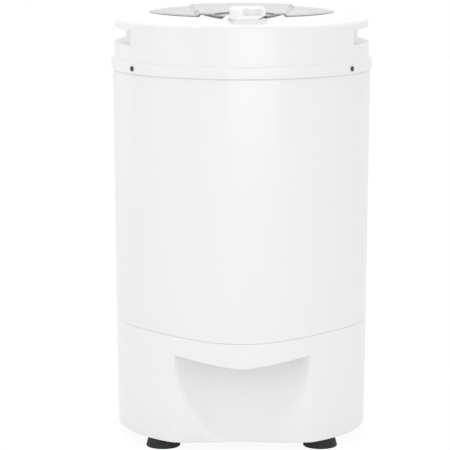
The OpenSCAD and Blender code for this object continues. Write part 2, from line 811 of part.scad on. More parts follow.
module drain_sleeve() {
    color([0.14, 0.14, 0.15]) translate([0, -drain_y, 0]) difference() {
        disc(drain_sleeve_r, spout_top_z - 10, nipple_z + 10);
        disc(drain_bore_r, spout_top_z - 11, nipple_z + 11);
        disc(drain_out_r, nipple_z, nipple_z + 11);
        disc(drain_out_r, spout_top_z - 11, spout_top_z);
    }
}

module drain_clips() {
    color([0.7, 0.7, 0.72]) translate([0, -drain_y, 0]) {
        ring(drain_sleeve_r + 1, drain_sleeve_r, nipple_z + 3, nipple_z + 7);
        ring(drain_sleeve_r + 1, drain_sleeve_r, spout_top_z - 7, spout_top_z - 3);
    }
}

// Children point down the nozzle, from the bend, parallel to the niche's back
module along_nozzle() {
    translate([0, 0, bend_z]) rotate([180 - niche_tilt, 0, 0]) children();
}

module drain_spout() {
    color([0.85, 0.85, 0.86]) translate([0, -drain_y, 0]) difference() {
        union() {
            disc(drain_out_r, bend_z - 1, spout_top_z);
            disc(drain_out_r + 4, ceiling_z + base_wall, ceiling_z + base_wall + 2);
            along_nozzle() {
                disc(drain_out_r + elbow_step, 0, nozzle_stop_l - 2);
                disc(drain_out_r + 1.5, nozzle_stop_l - 2.5, nozzle_stop_l);
                disc(nozzle_r, nozzle_stop_l - 1, nozzle_l);
            }
        }
        disc(drain_bore_r, bend_z - 0.5, spout_top_z + 1);
        along_nozzle() disc(drain_bore_r - elbow_step, -1, nozzle_l + 1);
    }
}

// ---------- suspension and motor ----------

module suspension_plate() {
    color([0.62, 0.64, 0.66]) translate([0, 0, plate_z]) difference() {
        union() {
            cylinder(r = motor_r, h = plate_t);
            for (a = mount_angles) rotate([0, 0, a]) {
                linear_extrude(plate_t) polygon([[40, -34], [mount_ring_r, -rubber_r],
                    [mount_ring_r, rubber_r], [40, 34]]);
                translate([mount_ring_r, 0, 0]) cylinder(r = rubber_r, h = plate_t);
                // Pressed rib along the arm
                translate([neck_r + 20, -3, 0]) cube([mount_ring_r - neck_r - 34, 6, plate_t + 4]);
            }
        }
        translate([0, 0, -1]) cylinder(r = neck_r, h = plate_t + 2);
        around(mount_angles, mount_ring_r) translate([0, 0, -1]) cylinder(r = bolt_r, h = plate_t + 2);
        plate_screw_places() translate([0, 0, -1]) cylinder(r = screw_r, h = plate_t + 2);
    }
}

module plate_screw_places() {
    around([30, 150, 270], motor_r - 7) children();
}

module plate_screws() {
    color([0.7, 0.7, 0.72]) plate_screw_places() {
        disc(screw_r, can_top_z + 1, neck_flange_z + 1);
        disc(screw_head_r, neck_flange_z, neck_flange_z + 2.2);
    }
}

module suspension_rubbers() {
    color([0.1, 0.1, 0.1]) around(mount_angles, mount_ring_r) translate([0, 0, plate_z - rubber_h])
        difference() {
            rotate_extrude() polygon([[0, 0], [rubber_r, 0], [rubber_r, 4], [rubber_r - 3, 7],
                [rubber_r - 3, rubber_h - 7], [rubber_r, rubber_h - 4], [rubber_r, rubber_h],
                [0, rubber_h]]);
            translate([0, 0, -1]) cylinder(r = bolt_r, h = rubber_h + 2);
        }
}

module suspension_bolts() {
    color([0.66, 0.66, 0.68]) around(mount_angles, mount_ring_r) {
        disc(bolt_r, plate_z - rubber_h - 12, plate_z + plate_t);
        disc(8, plate_z + plate_t, plate_z + plate_t + 1.2);
        translate([0, 0, plate_z + plate_t + 1]) cylinder(r = 4.6, h = 4, $fn = 6);
    }
}

module bearing_neck() {
    color([0.72, 0.73, 0.75]) difference() {
        union() {
            disc(neck_r + 15, neck_flange_z, neck_flange_z + 6);
            disc(neck_r, plate_z, neck_top_z);
        }
        disc(shaft_r + 2.5, plate_z - 1, neck_top_z + 1);
        disc(bearing_r, neck_top_z - bearing_t - 1, neck_top_z + 1);
    }
}

// A ball bearing: two races, a row of balls and a shield on each side
module ball_bearing(z) {
    middle_r = (bearing_r + shaft_r) / 2;
    color([0.8, 0.8, 0.82]) translate([0, 0, z]) {
        ring(bearing_r, middle_r + 1.4, 0, bearing_t);
        ring(middle_r - 1.4, shaft_r + run_gap, 0, bearing_t);
        ring(middle_r + 1.4, middle_r - 1.4, 1, bearing_t - 1);
    }
}

module motor_can() {
    color([0.66, 0.68, 0.7]) difference() {
        disc(motor_r, can_z, can_top_z);
        disc(motor_r - 2, can_z - 1, can_top_z + 1);
        // Air slots near both ends
        for (a = [0 : 30 : 330]) rotate([0, 0, a]) {
            translate([motor_r - 10, -5, can_z + 5]) cube([20, 10, 4]);
            translate([motor_r - 10, -5, can_top_z - 9]) cube([20, 10, 4]);
        }
    }
}

module through_bolt_places() {
    around([45, 135, 225, 315], motor_r - 6) children();
}

module upper_end_shield() {
    color([0.74, 0.75, 0.77]) difference() {
        union() {
            disc(motor_r, can_top_z, can_top_z + 5);
            disc(motor_r - 2, can_top_z - 4, can_top_z + 1);
            disc(28, can_top_z, plate_z);
            plate_screw_places() disc(5, can_top_z, plate_z);
        }
        disc(shaft_r + 2, can_top_z - 5, plate_z + 1);
        ring(motor_r - 5, 30, can_top_z - 5, can_top_z + 1);
        through_bolt_places() disc(bolt_r, can_top_z - 5, plate_z + 1);
        plate_screw_places() disc(screw_r, can_top_z + 1, plate_z + 1);
    }
}

module lower_end_shield() {
    color([0.74, 0.75, 0.77]) difference() {
        union() {
            disc(motor_r, can_z - 5, can_z);
            disc(motor_r - 2, can_z - 1, can_z + 4);
            disc(bearing_r + 5, shield_z, can_z);
        }
        disc(shaft_r + 2, shield_z - 1, can_z + 5);
        disc(bearing_r, shield_z - 1, shield_z + bearing_t);
        ring(motor_r - 5, bearing_r + 8, can_z - 1, can_z + 5);
        through_bolt_places() disc(bolt_r, can_z - 6, can_z + 5);
    }
}

module through_bolts() {
    color([0.7, 0.7, 0.72]) through_bolt_places() {
        disc(bolt_r, can_z - 5, can_top_z + 5);
        translate([0, 0, can_top_z + 5]) cylinder(r = 4.2, h = 3, $fn = 6);
        translate([0, 0, can_z - 8]) cylinder(r = 4.2, h = 3, $fn = 6);
    }
}

module stator_core() {
    core_z = can_z + winding_l;
    core_h = motor_h - 2 * winding_l;
    color([0.4, 0.41, 0.43]) difference() {
        disc(motor_r - 2, core_z, core_z + core_h);
        disc(rotor_r + 0.8, core_z - 1, core_z + core_h + 1);
        for (a = [0 : 30 : 330]) rotate([0, 0, a + 15])
            translate([rotor_r, -2.5, core_z - 1]) cube([14, 5, core_h + 2]);
        through_bolt_places() disc(bolt_r, core_z - 1, core_z + core_h + 1);
    }
}

module stator_winding() {
    lowest = [can_z + winding_l - winding_h, can_top_z - winding_l];
    color([0.72, 0.4, 0.2]) for (z = lowest) translate([0, 0, z])
        rotate_extrude() polygon([[36, 0.5], [38, 0], [47, 0], [49, 2],
            [49, winding_h - 2], [47, winding_h], [38, winding_h], [36, winding_h - 0.5]]);
}

module run_capacitor() {
    color([0.82, 0.83, 0.84]) around([capacitor_angle], capacitor_ring_r) {
        disc(capacitor_r, base_z + base_wall, capacitor_top_z);
        disc(capacitor_r - 2, capacitor_top_z, capacitor_top_z + 2);
        for (x = [-5, 5]) translate([x, 0, 0]) disc(2, capacitor_top_z + 2, capacitor_top_z + 8);
    }
}

module capacitor_clamp() {
    strap_t = 1.2;
    color([0.7, 0.71, 0.73]) around([capacitor_angle], capacitor_ring_r) {
        ring(capacitor_r + strap_t, capacitor_r, base_z + 30, base_z + 42);
        translate([capacitor_r + 0.5, -5, base_z + base_wall]) cube([strap_t, 10, 39]);
        translate([capacitor_r + 0.5, -5, base_z + base_wall]) cube([12, 10, strap_t]);
    }
}

module terminal_block() {
    color([0.88, 0.88, 0.84]) around([terminal_angle], terminal_ring_r) difference() {
        translate([-10, -24, base_z + base_wall]) cube([20, 48, 17]);
        for (y = [-18 : 9 : 18]) translate([0, y, base_z + 12]) cylinder(r = 2.4, h = 20);
        for (y = [-13.5 : 9 : 13.5]) translate([-11, y - 0.6, base_z + 14]) cube([22, 1.2, 10]);
    }
}

// ---------- inlet, switch and brake cable ----------

module gland_place() {
    skin_r = base_low_r + base_taper * (gland_z - base_z) / base_h;
    rotate([0, 0, gland_angle]) translate([skin_r, 0, gland_z]) children();
}

module cord_gland() {
    color([0.12, 0.12, 0.13]) gland_place() rotate([0, -90, 0]) difference() {
        union() {
            translate([0, 0, -5]) cylinder(r = gland_r + 3, h = 4.8);
            translate([0, 0, -5]) cylinder(r = gland_r, h = 16);
            translate([0, 0, base_wall + 0.4]) cylinder(r = gland_r + 3, h = 4, $fn = 6);
        }
        translate([0, 0, -6]) cylinder(r = 3.6, h = 20);
    }
}

module interlock_switch() {
    z0 = spindle_low_z - 2;
    color([0.2, 0.2, 0.22]) {
        translate([switch_x, -latch_y - 5, z0]) cube([switch_l, switch_w, seat_floor_z - z0]);
        translate([switch_x + switch_l - 1, -latch_y - 1.5, z0 + 3]) cube([plunger_l + 1, 3, 4]);
    }
}

module brake_cable() {
    color([0.16, 0.16, 0.17]) tube(smooth_path(cable_route, 3), cable_r, 8);
}

// A clip on the base's wall, and the stop on its floor where the cable's sheath ends
module cable_clips() {
    clip_r = norm([cable_clip_at[0], cable_clip_at[1]]);
    clip_z = cable_clip_at[2];
    wall_in_r = base_low_r + base_taper * (clip_z - base_z) / base_h - base_wall;
    stop_x = base_opening_r + 6;
    color([0.2, 0.2, 0.2]) difference() {
        union() {
            rotate([0, 0, atan2(cable_clip_at[1], cable_clip_at[0])]) intersection() {
                translate([clip_r - 6, -5, clip_z - 4]) cube([wall_in_r - clip_r + 10, 10, 8]);
                disc(wall_in_r - 0.15, clip_z - 5, clip_z + 5);
            }
            translate([stop_x - 5, -46, base_z + base_wall]) cube([10, 12, arm_z - base_z + 5]);
        }
        translate([cable_clip_at[0], cable_clip_at[1], clip_z - 5]) cylinder(r = cable_r + 0.05, h = 10);
        translate([stop_x - 10, -40, arm_z + arm_t / 2]) rotate([0, 90, 0])
            cylinder(r = cable_r + 0.05, h = 20);
    }
}

module brake_bracket() {
    at = brake_pin_at;
    reach = norm(at);
    color([0.62, 0.64, 0.66]) rotate([0, 0, atan2(at[1], at[0])]) difference() {
        union() {
            translate([motor_r - 8, -9, can_z - 8.5]) cube([reach - motor_r + 8, 18, 3.5]);
            translate([reach, 0, can_z - 8.5]) cylinder(r = 9, h = 3.5);
        }
        translate([reach, 0, can_z - 10]) cylinder(r = brake_pin_r, h = 8);
        translate([motor_r - 6, 0, can_z - 10]) cylinder(r = 5, h = 8);
    }
}

module brake_pin() {
    color([0.72, 0.72, 0.74]) translate([brake_pin_at[0], brake_pin_at[1], 0]) {
        disc(brake_pin_r, arm_z - 3, can_z - 5);
        disc(brake_pin_r + 1.6, arm_z - 3, arm_z - 1);
    }
}

// A close coil round the brake's pin, one leg on the arm and one on the bracket
module brake_spring() {
    turns = 5;
    steps = 16;
    wire_r = 0.8;
    coil_r = brake_pin_r + wire_r + 1.2;
    z0 = arm_z + arm_t + wire_r + 0.4;
    z1 = can_z - 8.5 - wire_r;
    coil = [for (i = [0 : turns * steps]) let (a = 360 * i / steps)
        [coil_r * cos(a), coil_r * sin(a), z0 + (z1 - z0) * i / (turns * steps)]];
    color([0.75, 0.75, 0.77]) translate([brake_pin_at[0], brake_pin_at[1], 0])
        tube(concat(coil, [[coil_r + 2, 2, z1 + 0.1]]), wire_r, 6);
}

module brake_arm() {
    at = brake_pin_at;
    lining_out = drum_r + lining_gap + lining_t;
    color([0.6, 0.62, 0.64]) difference() {
        union() {
            translate([at[0], at[1], arm_z]) cylinder(r = 8, h = arm_t);
            sector(lining_out + 5, lining_out, arm_z, arm_z + arm_t,
                -lining_half_angle - 4, lining_half_angle + 4);
            // One plate from the pin past the lining to the cable's end
            translate([0, 0, arm_z]) linear_extrude(arm_t) polygon([
                [at[0] - 7.5, at[1] - 3], [lining_out - 4, 12], [lining_out - 1, -12],
                [arm_end[0] - 5.5, arm_end[1] - 2], [arm_end[0] + 5.5, arm_end[1] + 2],
                [lining_out + 9, -8], [lining_out + 8, 12], [at[0] + 7.5, at[1] + 3]]);
            translate([arm_end[0], arm_end[1], arm_z]) cylinder(r = 6, h = arm_t);
        }
        translate([at[0], at[1], arm_z - 1]) cylinder(r = brake_pin_r + run_gap, h = arm_t + 2);
        translate([arm_end[0], arm_end[1], arm_z - 1]) cylinder(r = 1.6, h = arm_t + 2);
        disc(lining_out, arm_z - 1, arm_z + arm_t + 1);
    }
}

module brake_lining() {
    color([0.35, 0.28, 0.22]) sector(drum_r + lining_gap + lining_t, drum_r + lining_gap,
        arm_z - 1, arm_z + arm_t + 1, -lining_half_angle, lining_half_angle);
}

// ---------- lid ----------

module lid_panel() {
    top_z = lid_edge_z;
    color([0.5, 0.52, 0.54]) difference() {
        union() {
            difference() {
                union() {
                    rotate_extrude() polygon([[0, top_z - lid_t], [lid_r - lid_t, top_z - lid_t],
                        [lid_r - lid_t, lid_rest_z], [lid_r, lid_rest_z], [lid_r, top_z - 1.2],
                        [lid_r - 1.2, top_z], [0, top_z]]);
                    intersection() {
                        rotate_extrude() polygon([[0, top_z - 1], [lid_r - 0.5, top_z - 1],
                            [lid_r - 1.8, top_z + platform_rise - 1.2],
                            [lid_r - 3, top_z + platform_rise], [0, top_z + platform_rise]]);
                        strip(top_z - 2, top_z + 10, 0);
                    }
                }
                difference() {
                    intersection() {
                        strip(top_z - lid_t - 1, top_z + platform_rise - lid_t, lid_t);
                        disc(mouth_r - 6, 0, far * 2);
                    }
                    well(well_r + 3, 0, far * 2);
                }
                // Room in the rim for the hinge's leaf
                translate([-knuckle_x1 - 0.3, lid_r - 15, lid_rest_z - 1])
                    cube([2 * knuckle_x1 + 0.6, 20, top_z - lid_t - lid_rest_z + 1]);
                lid_screw_places() disc(screw_r, top_z - lid_t - 1, top_z - 1);
            }
            intersection() {
                latch_cup(cup_wall, lid_rest_z, top_z);
                disc(lid_r, 0, far * 2);
            }
        }
        well(well_r, top_z, top_z + 10);
        latch_cup(0, lid_rest_z + lid_cup_t, top_z + 10);
    }
}

// The cup in the lid's front that the knob and the tongue turn in
module latch_cup(grow, z0, z1) {
    translate([latch_x - cup_half_w - grow, -seat_r, z0])
        cube([2 * (cup_half_w + grow), seat_r - cup_back_y + grow, z1 - z0]);
}

// The ring under the lid that dips into the mouth
module lid_collar() {
    out_r = mouth_r - 2;
    drop = 8;
    color([0.9, 0.9, 0.9]) ring(out_r, out_r - 1.8, seat_z - drop, lid_edge_z - lid_t);
}

module lid_seal() {
    color([0.14, 0.14, 0.15])
        ring(mouth_r + 7, mouth_r + mouth_wall, lid_rest_z, lid_edge_z - lid_t);
}

module lid_screw_places() {
    for (x = [-26, 0, 26]) translate([x, lid_r - 9, 0]) children();
}

module lid_hinge_leaf() {
    leaf_top = lid_edge_z - lid_t;
    leaf_y = lid_r - 14;
    color([0.9, 0.9, 0.9]) difference() {
        union() {
            for (x = [-knuckle_x1, knuckle_x0]) {
                translate([x, hinge_y, hinge_z]) rotate([0, 90, 0])
                    cylinder(r = knuckle_r, h = knuckle_x1 - knuckle_x0);
                translate([x, leaf_y, leaf_top - 3]) cube([knuckle_x1 - knuckle_x0, hinge_y - leaf_y, 3]);
            }
            translate([-knuckle_x1, leaf_y, leaf_top - 3]) cube([2 * knuckle_x1, 10, 3]);
        }
        translate([-knuckle_x1 - 1, hinge_y, hinge_z]) rotate([0, 90, 0])
            cylinder(r = hinge_pin_r + run_gap, h = 2 * knuckle_x1 + 2);
        lid_screw_places() disc(screw_r, leaf_top - 4, leaf_top + 1);
    }
}

module lid_screws() {
    leaf_low = lid_edge_z - lid_t - 3;
    color([0.7, 0.7, 0.72]) lid_screw_places() {
        disc(screw_head_r, leaf_low - 1.6, leaf_low);
        disc(screw_r, leaf_low - 1, lid_edge_z - 1);
    }
}

// ---------- latch ----------

module latch_knob() {
    rest_r = 16;
    rest_depth = 8;
    color([0.93, 0.93, 0.93]) translate([latch_at[0], latch_at[1], knob_z]) difference() {
        hull() for (x = [-1, 1]) for (y = [-1, 1])
            translate([x * (knob_l / 2 - knob_corner), y * (knob_w / 2 - knob_corner), 0]) {
                cylinder(r = knob_corner, h = knob_h - 4, $fn = 32);
                cylinder(r = knob_corner - 3, h = knob_h, $fn = 32);
            }
        // A finger rest in the front, under a lip
        translate([7, rest_depth - rest_r - knob_w / 2, 5]) cylinder(r = rest_r, h = knob_h - 7);
        // The right end slopes up from below
        rotate([90, 0, 0]) translate([0, 0, -knob_w]) linear_extrude(2 * knob_w)
            polygon([[knob_l / 2 - 12, 0], [knob_l / 2 - 12, -1], [knob_l, -1], [knob_l, 5],
                [knob_l / 2, 5]]);
        translate([0, 0, -1]) cylinder(r = spindle_r, h = 9);
    }
}

module latch_spindle() {
    color([0.7, 0.7, 0.72]) translate([latch_at[0], latch_at[1], 0]) {
        disc(spindle_r, spindle_low_z, knob_z + 8);
        disc(spindle_r + 3, spindle_low_z, spindle_low_z + 6);
        translate([0, -4, spindle_low_z]) cube([latch_lever_l, 8, 6]);
        translate([-lobe_half_w, -latch_lobe_l, spindle_low_z]) cube([2 * lobe_half_w, latch_lobe_l, 6]);
    }
}

module latch_tongue() {
    color([0.85, 0.85, 0.86]) translate([latch_at[0], latch_at[1], tongue_z]) difference() {
        union() {
            cylinder(r = tongue_foot_r, h = tongue_t);
            translate([tongue_half_w - tongue_reach, -tongue_half_w, 0])
                cube([tongue_reach - tongue_half_w, 2 * tongue_half_w, tongue_t]);
            translate([tongue_half_w - tongue_reach, 0, 0]) cylinder(r = tongue_half_w, h = tongue_t);
        }
        translate([0, 0, -1]) cylinder(r = spindle_r, h = tongue_t + 2);
    }
}

// ---------- what spins ----------

module motor_shaft() {
    color([0.75, 0.76, 0.78]) {
        disc(shaft_r, drum_z - 2, cone_top_z - basket_t);
        disc(thread_r, cone_top_z - basket_t - 1, shaft_top_z);
    }
}

module rotor_core() {
    core_z = can_z + winding_l - 1;
    core_h = motor_h - 2 * winding_l + 2;
    color([0.55, 0.56, 0.58]) difference() {
        union() {
            disc(rotor_r, core_z, core_z + core_h);
            disc(rotor_r - 3, core_z - 5, core_z + core_h + 5);
        }
        disc(shaft_r, core_z - 6, core_z + core_h + 6);
        ring(rotor_r - 8, shaft_r + 6, core_z - 6, core_z - 2);
        ring(rotor_r - 8, shaft_r + 6, core_z + core_h + 2, core_z + core_h + 6);
    }
}

module cooling_fan() {
    color([0.25, 0.25, 0.27]) difference() {
        union() {
            disc(shaft_r + 6, fan_z, fan_z + fan_h);
            disc(fan_r, fan_z, fan_z + 1.5);
            for (a = [0 : 36 : 324]) rotate([0, 0, a]) translate([shaft_r + 4, -0.9, fan_z])
                cube([fan_r - shaft_r - 5, 1.8, fan_h]);
        }
        disc(shaft_r, fan_z - 1, fan_z + fan_h + 1);
    }
}

module brake_drum() {
    color([0.45, 0.46, 0.48]) difference() {
        disc(drum_r, drum_z, drum_z + drum_h);
        ring(drum_r - 5, shaft_r + 6, drum_z - 1, drum_z + drum_h - 4);
        disc(shaft_r, drum_z - 1, drum_z + drum_h + 1);
        around([0 : 60 : 300], 20) disc(4, drum_z, drum_z + drum_h + 1);
    }
}

module basket_hub() {
    color([0.7, 0.72, 0.74]) difference() {
        union() {
            disc(cone_low_r + 8, hub_z + 2, basket_z);
            translate([0, 0, basket_z - 0.01])
                cylinder(r1 = cone_low_r, r2 = cone_top_r, h = cone_rise + 0.01);
            disc(22, hub_z, hub_z + 3);
        }
        disc(shaft_r, hub_z - 1, cone_top_z);
        around([0 : 60 : 300], 32) disc(6, hub_z - 1, basket_z + 2);
    }
}

// Section of the basket: floor with a raised cone, rounded corner, wall and turned-in flange
function basket_section() =
    let (corner = 12, wall_r = basket_r, in_r = basket_r - basket_t, floor_z = basket_z)
    concat([[thread_r, cone_top_z - basket_t], [cone_top_r, cone_top_z - basket_t],
            [cone_low_r, floor_z], [wall_r - corner, floor_z]],
        [for (a = [-75 : 15 : 0]) [wall_r - corner + corner * cos(a), floor_z + corner + corner * sin(a)]],
        [[wall_r, basket_top_z], [balance_in_r + 2, basket_top_z],
            [balance_in_r + 2, basket_top_z - basket_t], [in_r, basket_top_z - basket_t],
            [in_r, floor_z + corner]],
        [for (a = [-15 : -15 : -75]) [wall_r - corner + (corner - basket_t) * cos(a),
            floor_z + corner + (corner - basket_t) * sin(a)]],
        [[wall_r - corner, floor_z + basket_t], [cone_low_r + 0.4, floor_z + basket_t],
            [cone_top_r + 0.4, cone_top_z], [thread_r, cone_top_z]]);

module basket() {
    first = basket_z + 26;
    pitch = (basket_top_z - 14 - first) / (hole_rows - 1);
    color([0.8, 0.81, 0.82]) difference() {
        rotate_extrude() polygon(basket_section());
        for (row = [0 : hole_rows - 1]) for (i = [0 : hole_columns - 1])
            rotate([0, 0, 360 * (i + (row % 2) / 2) / hole_columns])
            translate([basket_r - 6, 0, first + pitch * row]) rotate([0, 90, 0])
            cylinder(r = hole_r, h = 12, $fn = 24);
        // Drain holes in the floor
        for (i = [0 : 11]) rotate([0, 0, 30 * i]) translate([basket_r - 24, 0, basket_z - 1])
            cylinder(r = hole_r, h = 4, $fn = 24);
    }
}

module balance_ring() {
    color([0.75, 0.78, 0.8]) rotate_extrude() polygon([
        [balance_in_r, basket_top_z + 2], [balance_in_r + 2, basket_top_z], [basket_r - 1, basket_top_z],
        [basket_r, basket_top_z + 1], [basket_r, basket_top_z + balance_h - 6],
        [basket_r - 6, basket_top_z + balance_h], [balance_in_r + 3, basket_top_z + balance_h],
        [balance_in_r, basket_top_z + balance_h - 3]]);
}

module basket_nut() {
    color([0.72, 0.72, 0.74]) difference() {
        union() {
            disc(14, cone_top_z, cone_top_z + 2);
            translate([0, 0, cone_top_z + 2]) cylinder(r = 11, h = 7, $fn = 6);
        }
        disc(thread_r, cone_top_z - 1, cone_top_z + 10);
    }
}

module hub_cap() {
    color([0.82, 0.84, 0.86]) rotate_extrude() polygon([
        [26, cone_top_z], [28.5, cone_top_z], [27.5, cone_top_z + 5], [23, cone_top_z + 12],
        [14, cone_top_z + 16.5], [0, cone_top_z + 18], [0, cone_top_z + 15.5],
        [13, cone_top_z + 14.2], [21, cone_top_z + 10.4], [25, cone_top_z + 4.5]]);
}

// ---------- the nodes ----------

base_skirt();
foot_at(2);  // foot_front_left
foot_at(3);  // foot_front_right
foot_at(1);  // foot_rear_left
foot_at(0);  // foot_rear_right
foot_screws();
casing();
casing_screws();
top_cover();
mouth_collar();
cover_screws();
hinge_pin();
water_tub();
tub_seal();
shaft_gaiter();
drain_sleeve();
drain_clips();
drain_spout();
suspension_plate();
plate_screws();
suspension_rubbers();
suspension_bolts();
bearing_neck();
ball_bearing(neck_top_z - bearing_t);  // upper_bearing
motor_can();
upper_end_shield();
lower_end_shield();
ball_bearing(shield_z);  // lower_bearing
through_bolts();
stator_core();
stator_winding();
run_capacitor();
capacitor_clamp();
terminal_block();
cord_gland();
interlock_switch();
brake_cable();
cable_clips();
brake_bracket();
brake_pin();
brake_spring();
brake_arm();
brake_lining();
lid_panel();
lid_collar();
lid_seal();
lid_hinge_leaf();
lid_screws();
latch_knob();
latch_spindle();
latch_tongue();
motor_shaft();
rotor_core();
cooling_fan();
brake_drum();
basket_hub();
basket();
balance_ring();
basket_nut();
hub_cap();
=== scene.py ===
# %% [markdown]
# A round laundry spin dryer stands on a white ground: white moulded shells, a smoke grey lid
# and a turn latch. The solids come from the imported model. This lesson gives them their finishes
# and lays softer, rounder surfaces over the mouldings that the camera sees.

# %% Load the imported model
import json
import math

import bmesh
import bpy
import numpy as np
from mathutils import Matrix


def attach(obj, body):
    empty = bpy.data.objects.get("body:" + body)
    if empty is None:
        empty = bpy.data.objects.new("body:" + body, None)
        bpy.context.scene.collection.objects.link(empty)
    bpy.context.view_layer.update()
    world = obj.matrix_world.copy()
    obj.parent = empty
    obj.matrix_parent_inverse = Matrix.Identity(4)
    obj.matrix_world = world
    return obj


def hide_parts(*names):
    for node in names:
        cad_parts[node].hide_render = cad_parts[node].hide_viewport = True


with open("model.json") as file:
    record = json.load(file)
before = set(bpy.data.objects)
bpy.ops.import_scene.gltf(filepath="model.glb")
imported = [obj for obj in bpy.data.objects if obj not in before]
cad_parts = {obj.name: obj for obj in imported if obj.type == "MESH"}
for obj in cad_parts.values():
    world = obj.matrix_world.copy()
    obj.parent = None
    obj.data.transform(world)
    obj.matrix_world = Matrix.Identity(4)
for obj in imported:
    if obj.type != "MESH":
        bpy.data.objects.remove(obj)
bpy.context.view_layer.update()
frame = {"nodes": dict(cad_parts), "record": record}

MM = 0.001
nodes = frame["nodes"]

# %% [markdown]
# The camera stands 3.3 m away with a long lens and looks 9 degrees down. A long lens keeps the
# sides of the cylinder almost upright, which is how such a product is usually photographed.

# %% Camera
VIEW_DOWN = math.radians(9)
CAMERA_AT = (-0.023, -3.227, 0.802)
LENS_MM, SENSOR_MM, VIEW_END = 186.1, 36, 50

camera_data = bpy.data.cameras.new("camera")
camera_data.lens = LENS_MM
camera_data.sensor_width = SENSOR_MM
camera_data.clip_end = VIEW_END
camera = bpy.data.objects.new("camera", camera_data)
camera.location = CAMERA_AT
camera.rotation_euler = (math.pi / 2 - VIEW_DOWN, 0, 0)
bpy.context.scene.collection.objects.link(camera)
bpy.context.scene.camera = camera
bpy.context.scene.view_settings.view_transform = "Standard"
print("camera at", CAMERA_AT, "lens", LENS_MM)

# %% [markdown]
# A finish is a tree of shader nodes. Written as Python expressions it reads like a formula, so
# one small class wraps a socket and turns + - * into Math nodes, also with the number in front.
# Every other node comes from one method that sets the node up and joins its sockets.

# %% Shader expressions
class Wire:
    """The output of a shader node, on which Python's signs add Math nodes."""

    def __init__(self, tree, socket):
        self.tree, self.socket = tree, socket

    def sign(self, operation, *values):
        return add_node(self.tree, "ShaderNodeMath", {"operation": operation},
                        dict(enumerate(values)))

    def __add__(self, other): return self.sign("ADD", self, other)
    def __radd__(self, other): return self.sign("ADD", other, self)
    def __sub__(self, other): return self.sign("SUBTRACT", self, other)
    def __rsub__(self, other): return self.sign("SUBTRACT", other, self)
    def __mul__(self, other): return self.sign("MULTIPLY", self, other)
    def __rmul__(self, other): return self.sign("MULTIPLY", other, self)


def add_node(tree, kind, settings=None, sockets=None, out=0):
    """A node with its settings made first, then each socket set to a value or joined to a Wire."""
    node = tree.nodes.new(kind)
    for name, value in (settings or {}).items():
        setattr(node, name, value)
    for name, value in (sockets or {}).items():
        if isinstance(value, Wire):
            tree.links.new(value.socket, node.inputs[name])
        else:
            node.inputs[name].default_value = value
    return Wire(tree, node.outputs[out])


def noise(tree, size, detail=3, stretch=(1, 1, 1)):
    """Noise from 0 to 1 whose lumps are about size metres across, times stretch on each axis."""
    at = add_node(tree, "ShaderNodeTexCoord", out="Object")
    scale = tuple(1 / (size * s) for s in stretch)
    at = add_node(tree, "ShaderNodeMapping", {}, {"Vector": at, "Scale": scale})
    return add_node(tree, "ShaderNodeTexNoise", {"noise_dimensions": "3D"},
                    {"Vector": at, "Scale": 1.0, "Detail": detail, "Roughness": 0.5})


def blend_colours(tree, factor, low, high):
    """From colour low to colour high as factor goes from 0 to 1."""
    return add_node(tree, "ShaderNodeMix", {"data_type": "RGBA"},
                    {"Factor": factor, 6: (*low, 1), 7: (*high, 1)}, out=2)


def ramp(tree, value, low, high):
    """0 below low and 1 above high, smooth between them."""
    return add_node(tree, "ShaderNodeMapRange", {"interpolation_type": "SMOOTHSTEP"},
                    {"Value": value, "From Min": low, "From Max": high})


def bump(tree, height, distance, strength, under=None):
    """A normal tilted by a height from 0 to 1 that stands for distance metres."""
    sockets = {"Height": height, "Distance": distance, "Strength": strength}
    if under:
        sockets["Normal"] = under
    return add_node(tree, "ShaderNodeBump", {}, sockets)


FINISHES = {}


def finish(slot, constants, build):
    """The slot's material: constants go to the shader's own sockets, build returns what varies."""
    material = bpy.data.materials.new(slot)
    material.use_nodes = True
    tree = material.node_tree
    tree.nodes.clear()
    surface = add_node(tree, "ShaderNodeBsdfPrincipled", {}, {**constants, **build(tree)}, "BSDF")
    tree.links.new(surface.socket, tree.nodes.new("ShaderNodeOutputMaterial").inputs["Surface"])
    FINISHES[slot] = material


print("shader expressions ready")

# %% [markdown]
# The cabinet is injection-moulded plastic. Its gloss is soft, because the mould is fine-blasted:
# a grain of under half a millimetre tilts the surface a little, and slow changes in roughness
# break up long reflections. The same recipe, with other numbers, does for every moulded piece.

# %% Moulded plastics and rubbers
SLOW, WAVE = 0.06, 0.00004  # metres across and high, of the slow unevenness of a moulded wall
BLOTCH, ROUGH_SPREAD = 0.012, 0.03  # metres across a duller place, and how far roughness strays


def moulded(slot, colour, roughness, grain=0.0004, depth=0.00001, tint=0.03, coat=0.0):
    """Plastic or rubber: grain metres across and depth metres high in the normal, and slow
    changes in colour, darker by up to tint, and in roughness."""
    def build(tree):
        slow = noise(tree, SLOW, detail=2)
        fine = noise(tree, grain, detail=2)
        dark = tuple(c * (1 - tint) for c in colour)
        return {"Base Color": blend_colours(tree, slow, dark, colour),
                "Roughness": roughness - ROUGH_SPREAD + 2 * ROUGH_SPREAD * noise(tree, BLOTCH),
                "Normal": bump(tree, fine, depth, 0.6, bump(tree, slow, WAVE, 0.5))}
    finish(slot, {"IOR": 1.49, "Coat Weight": coat, "Coat Roughness": 0.08}, build)


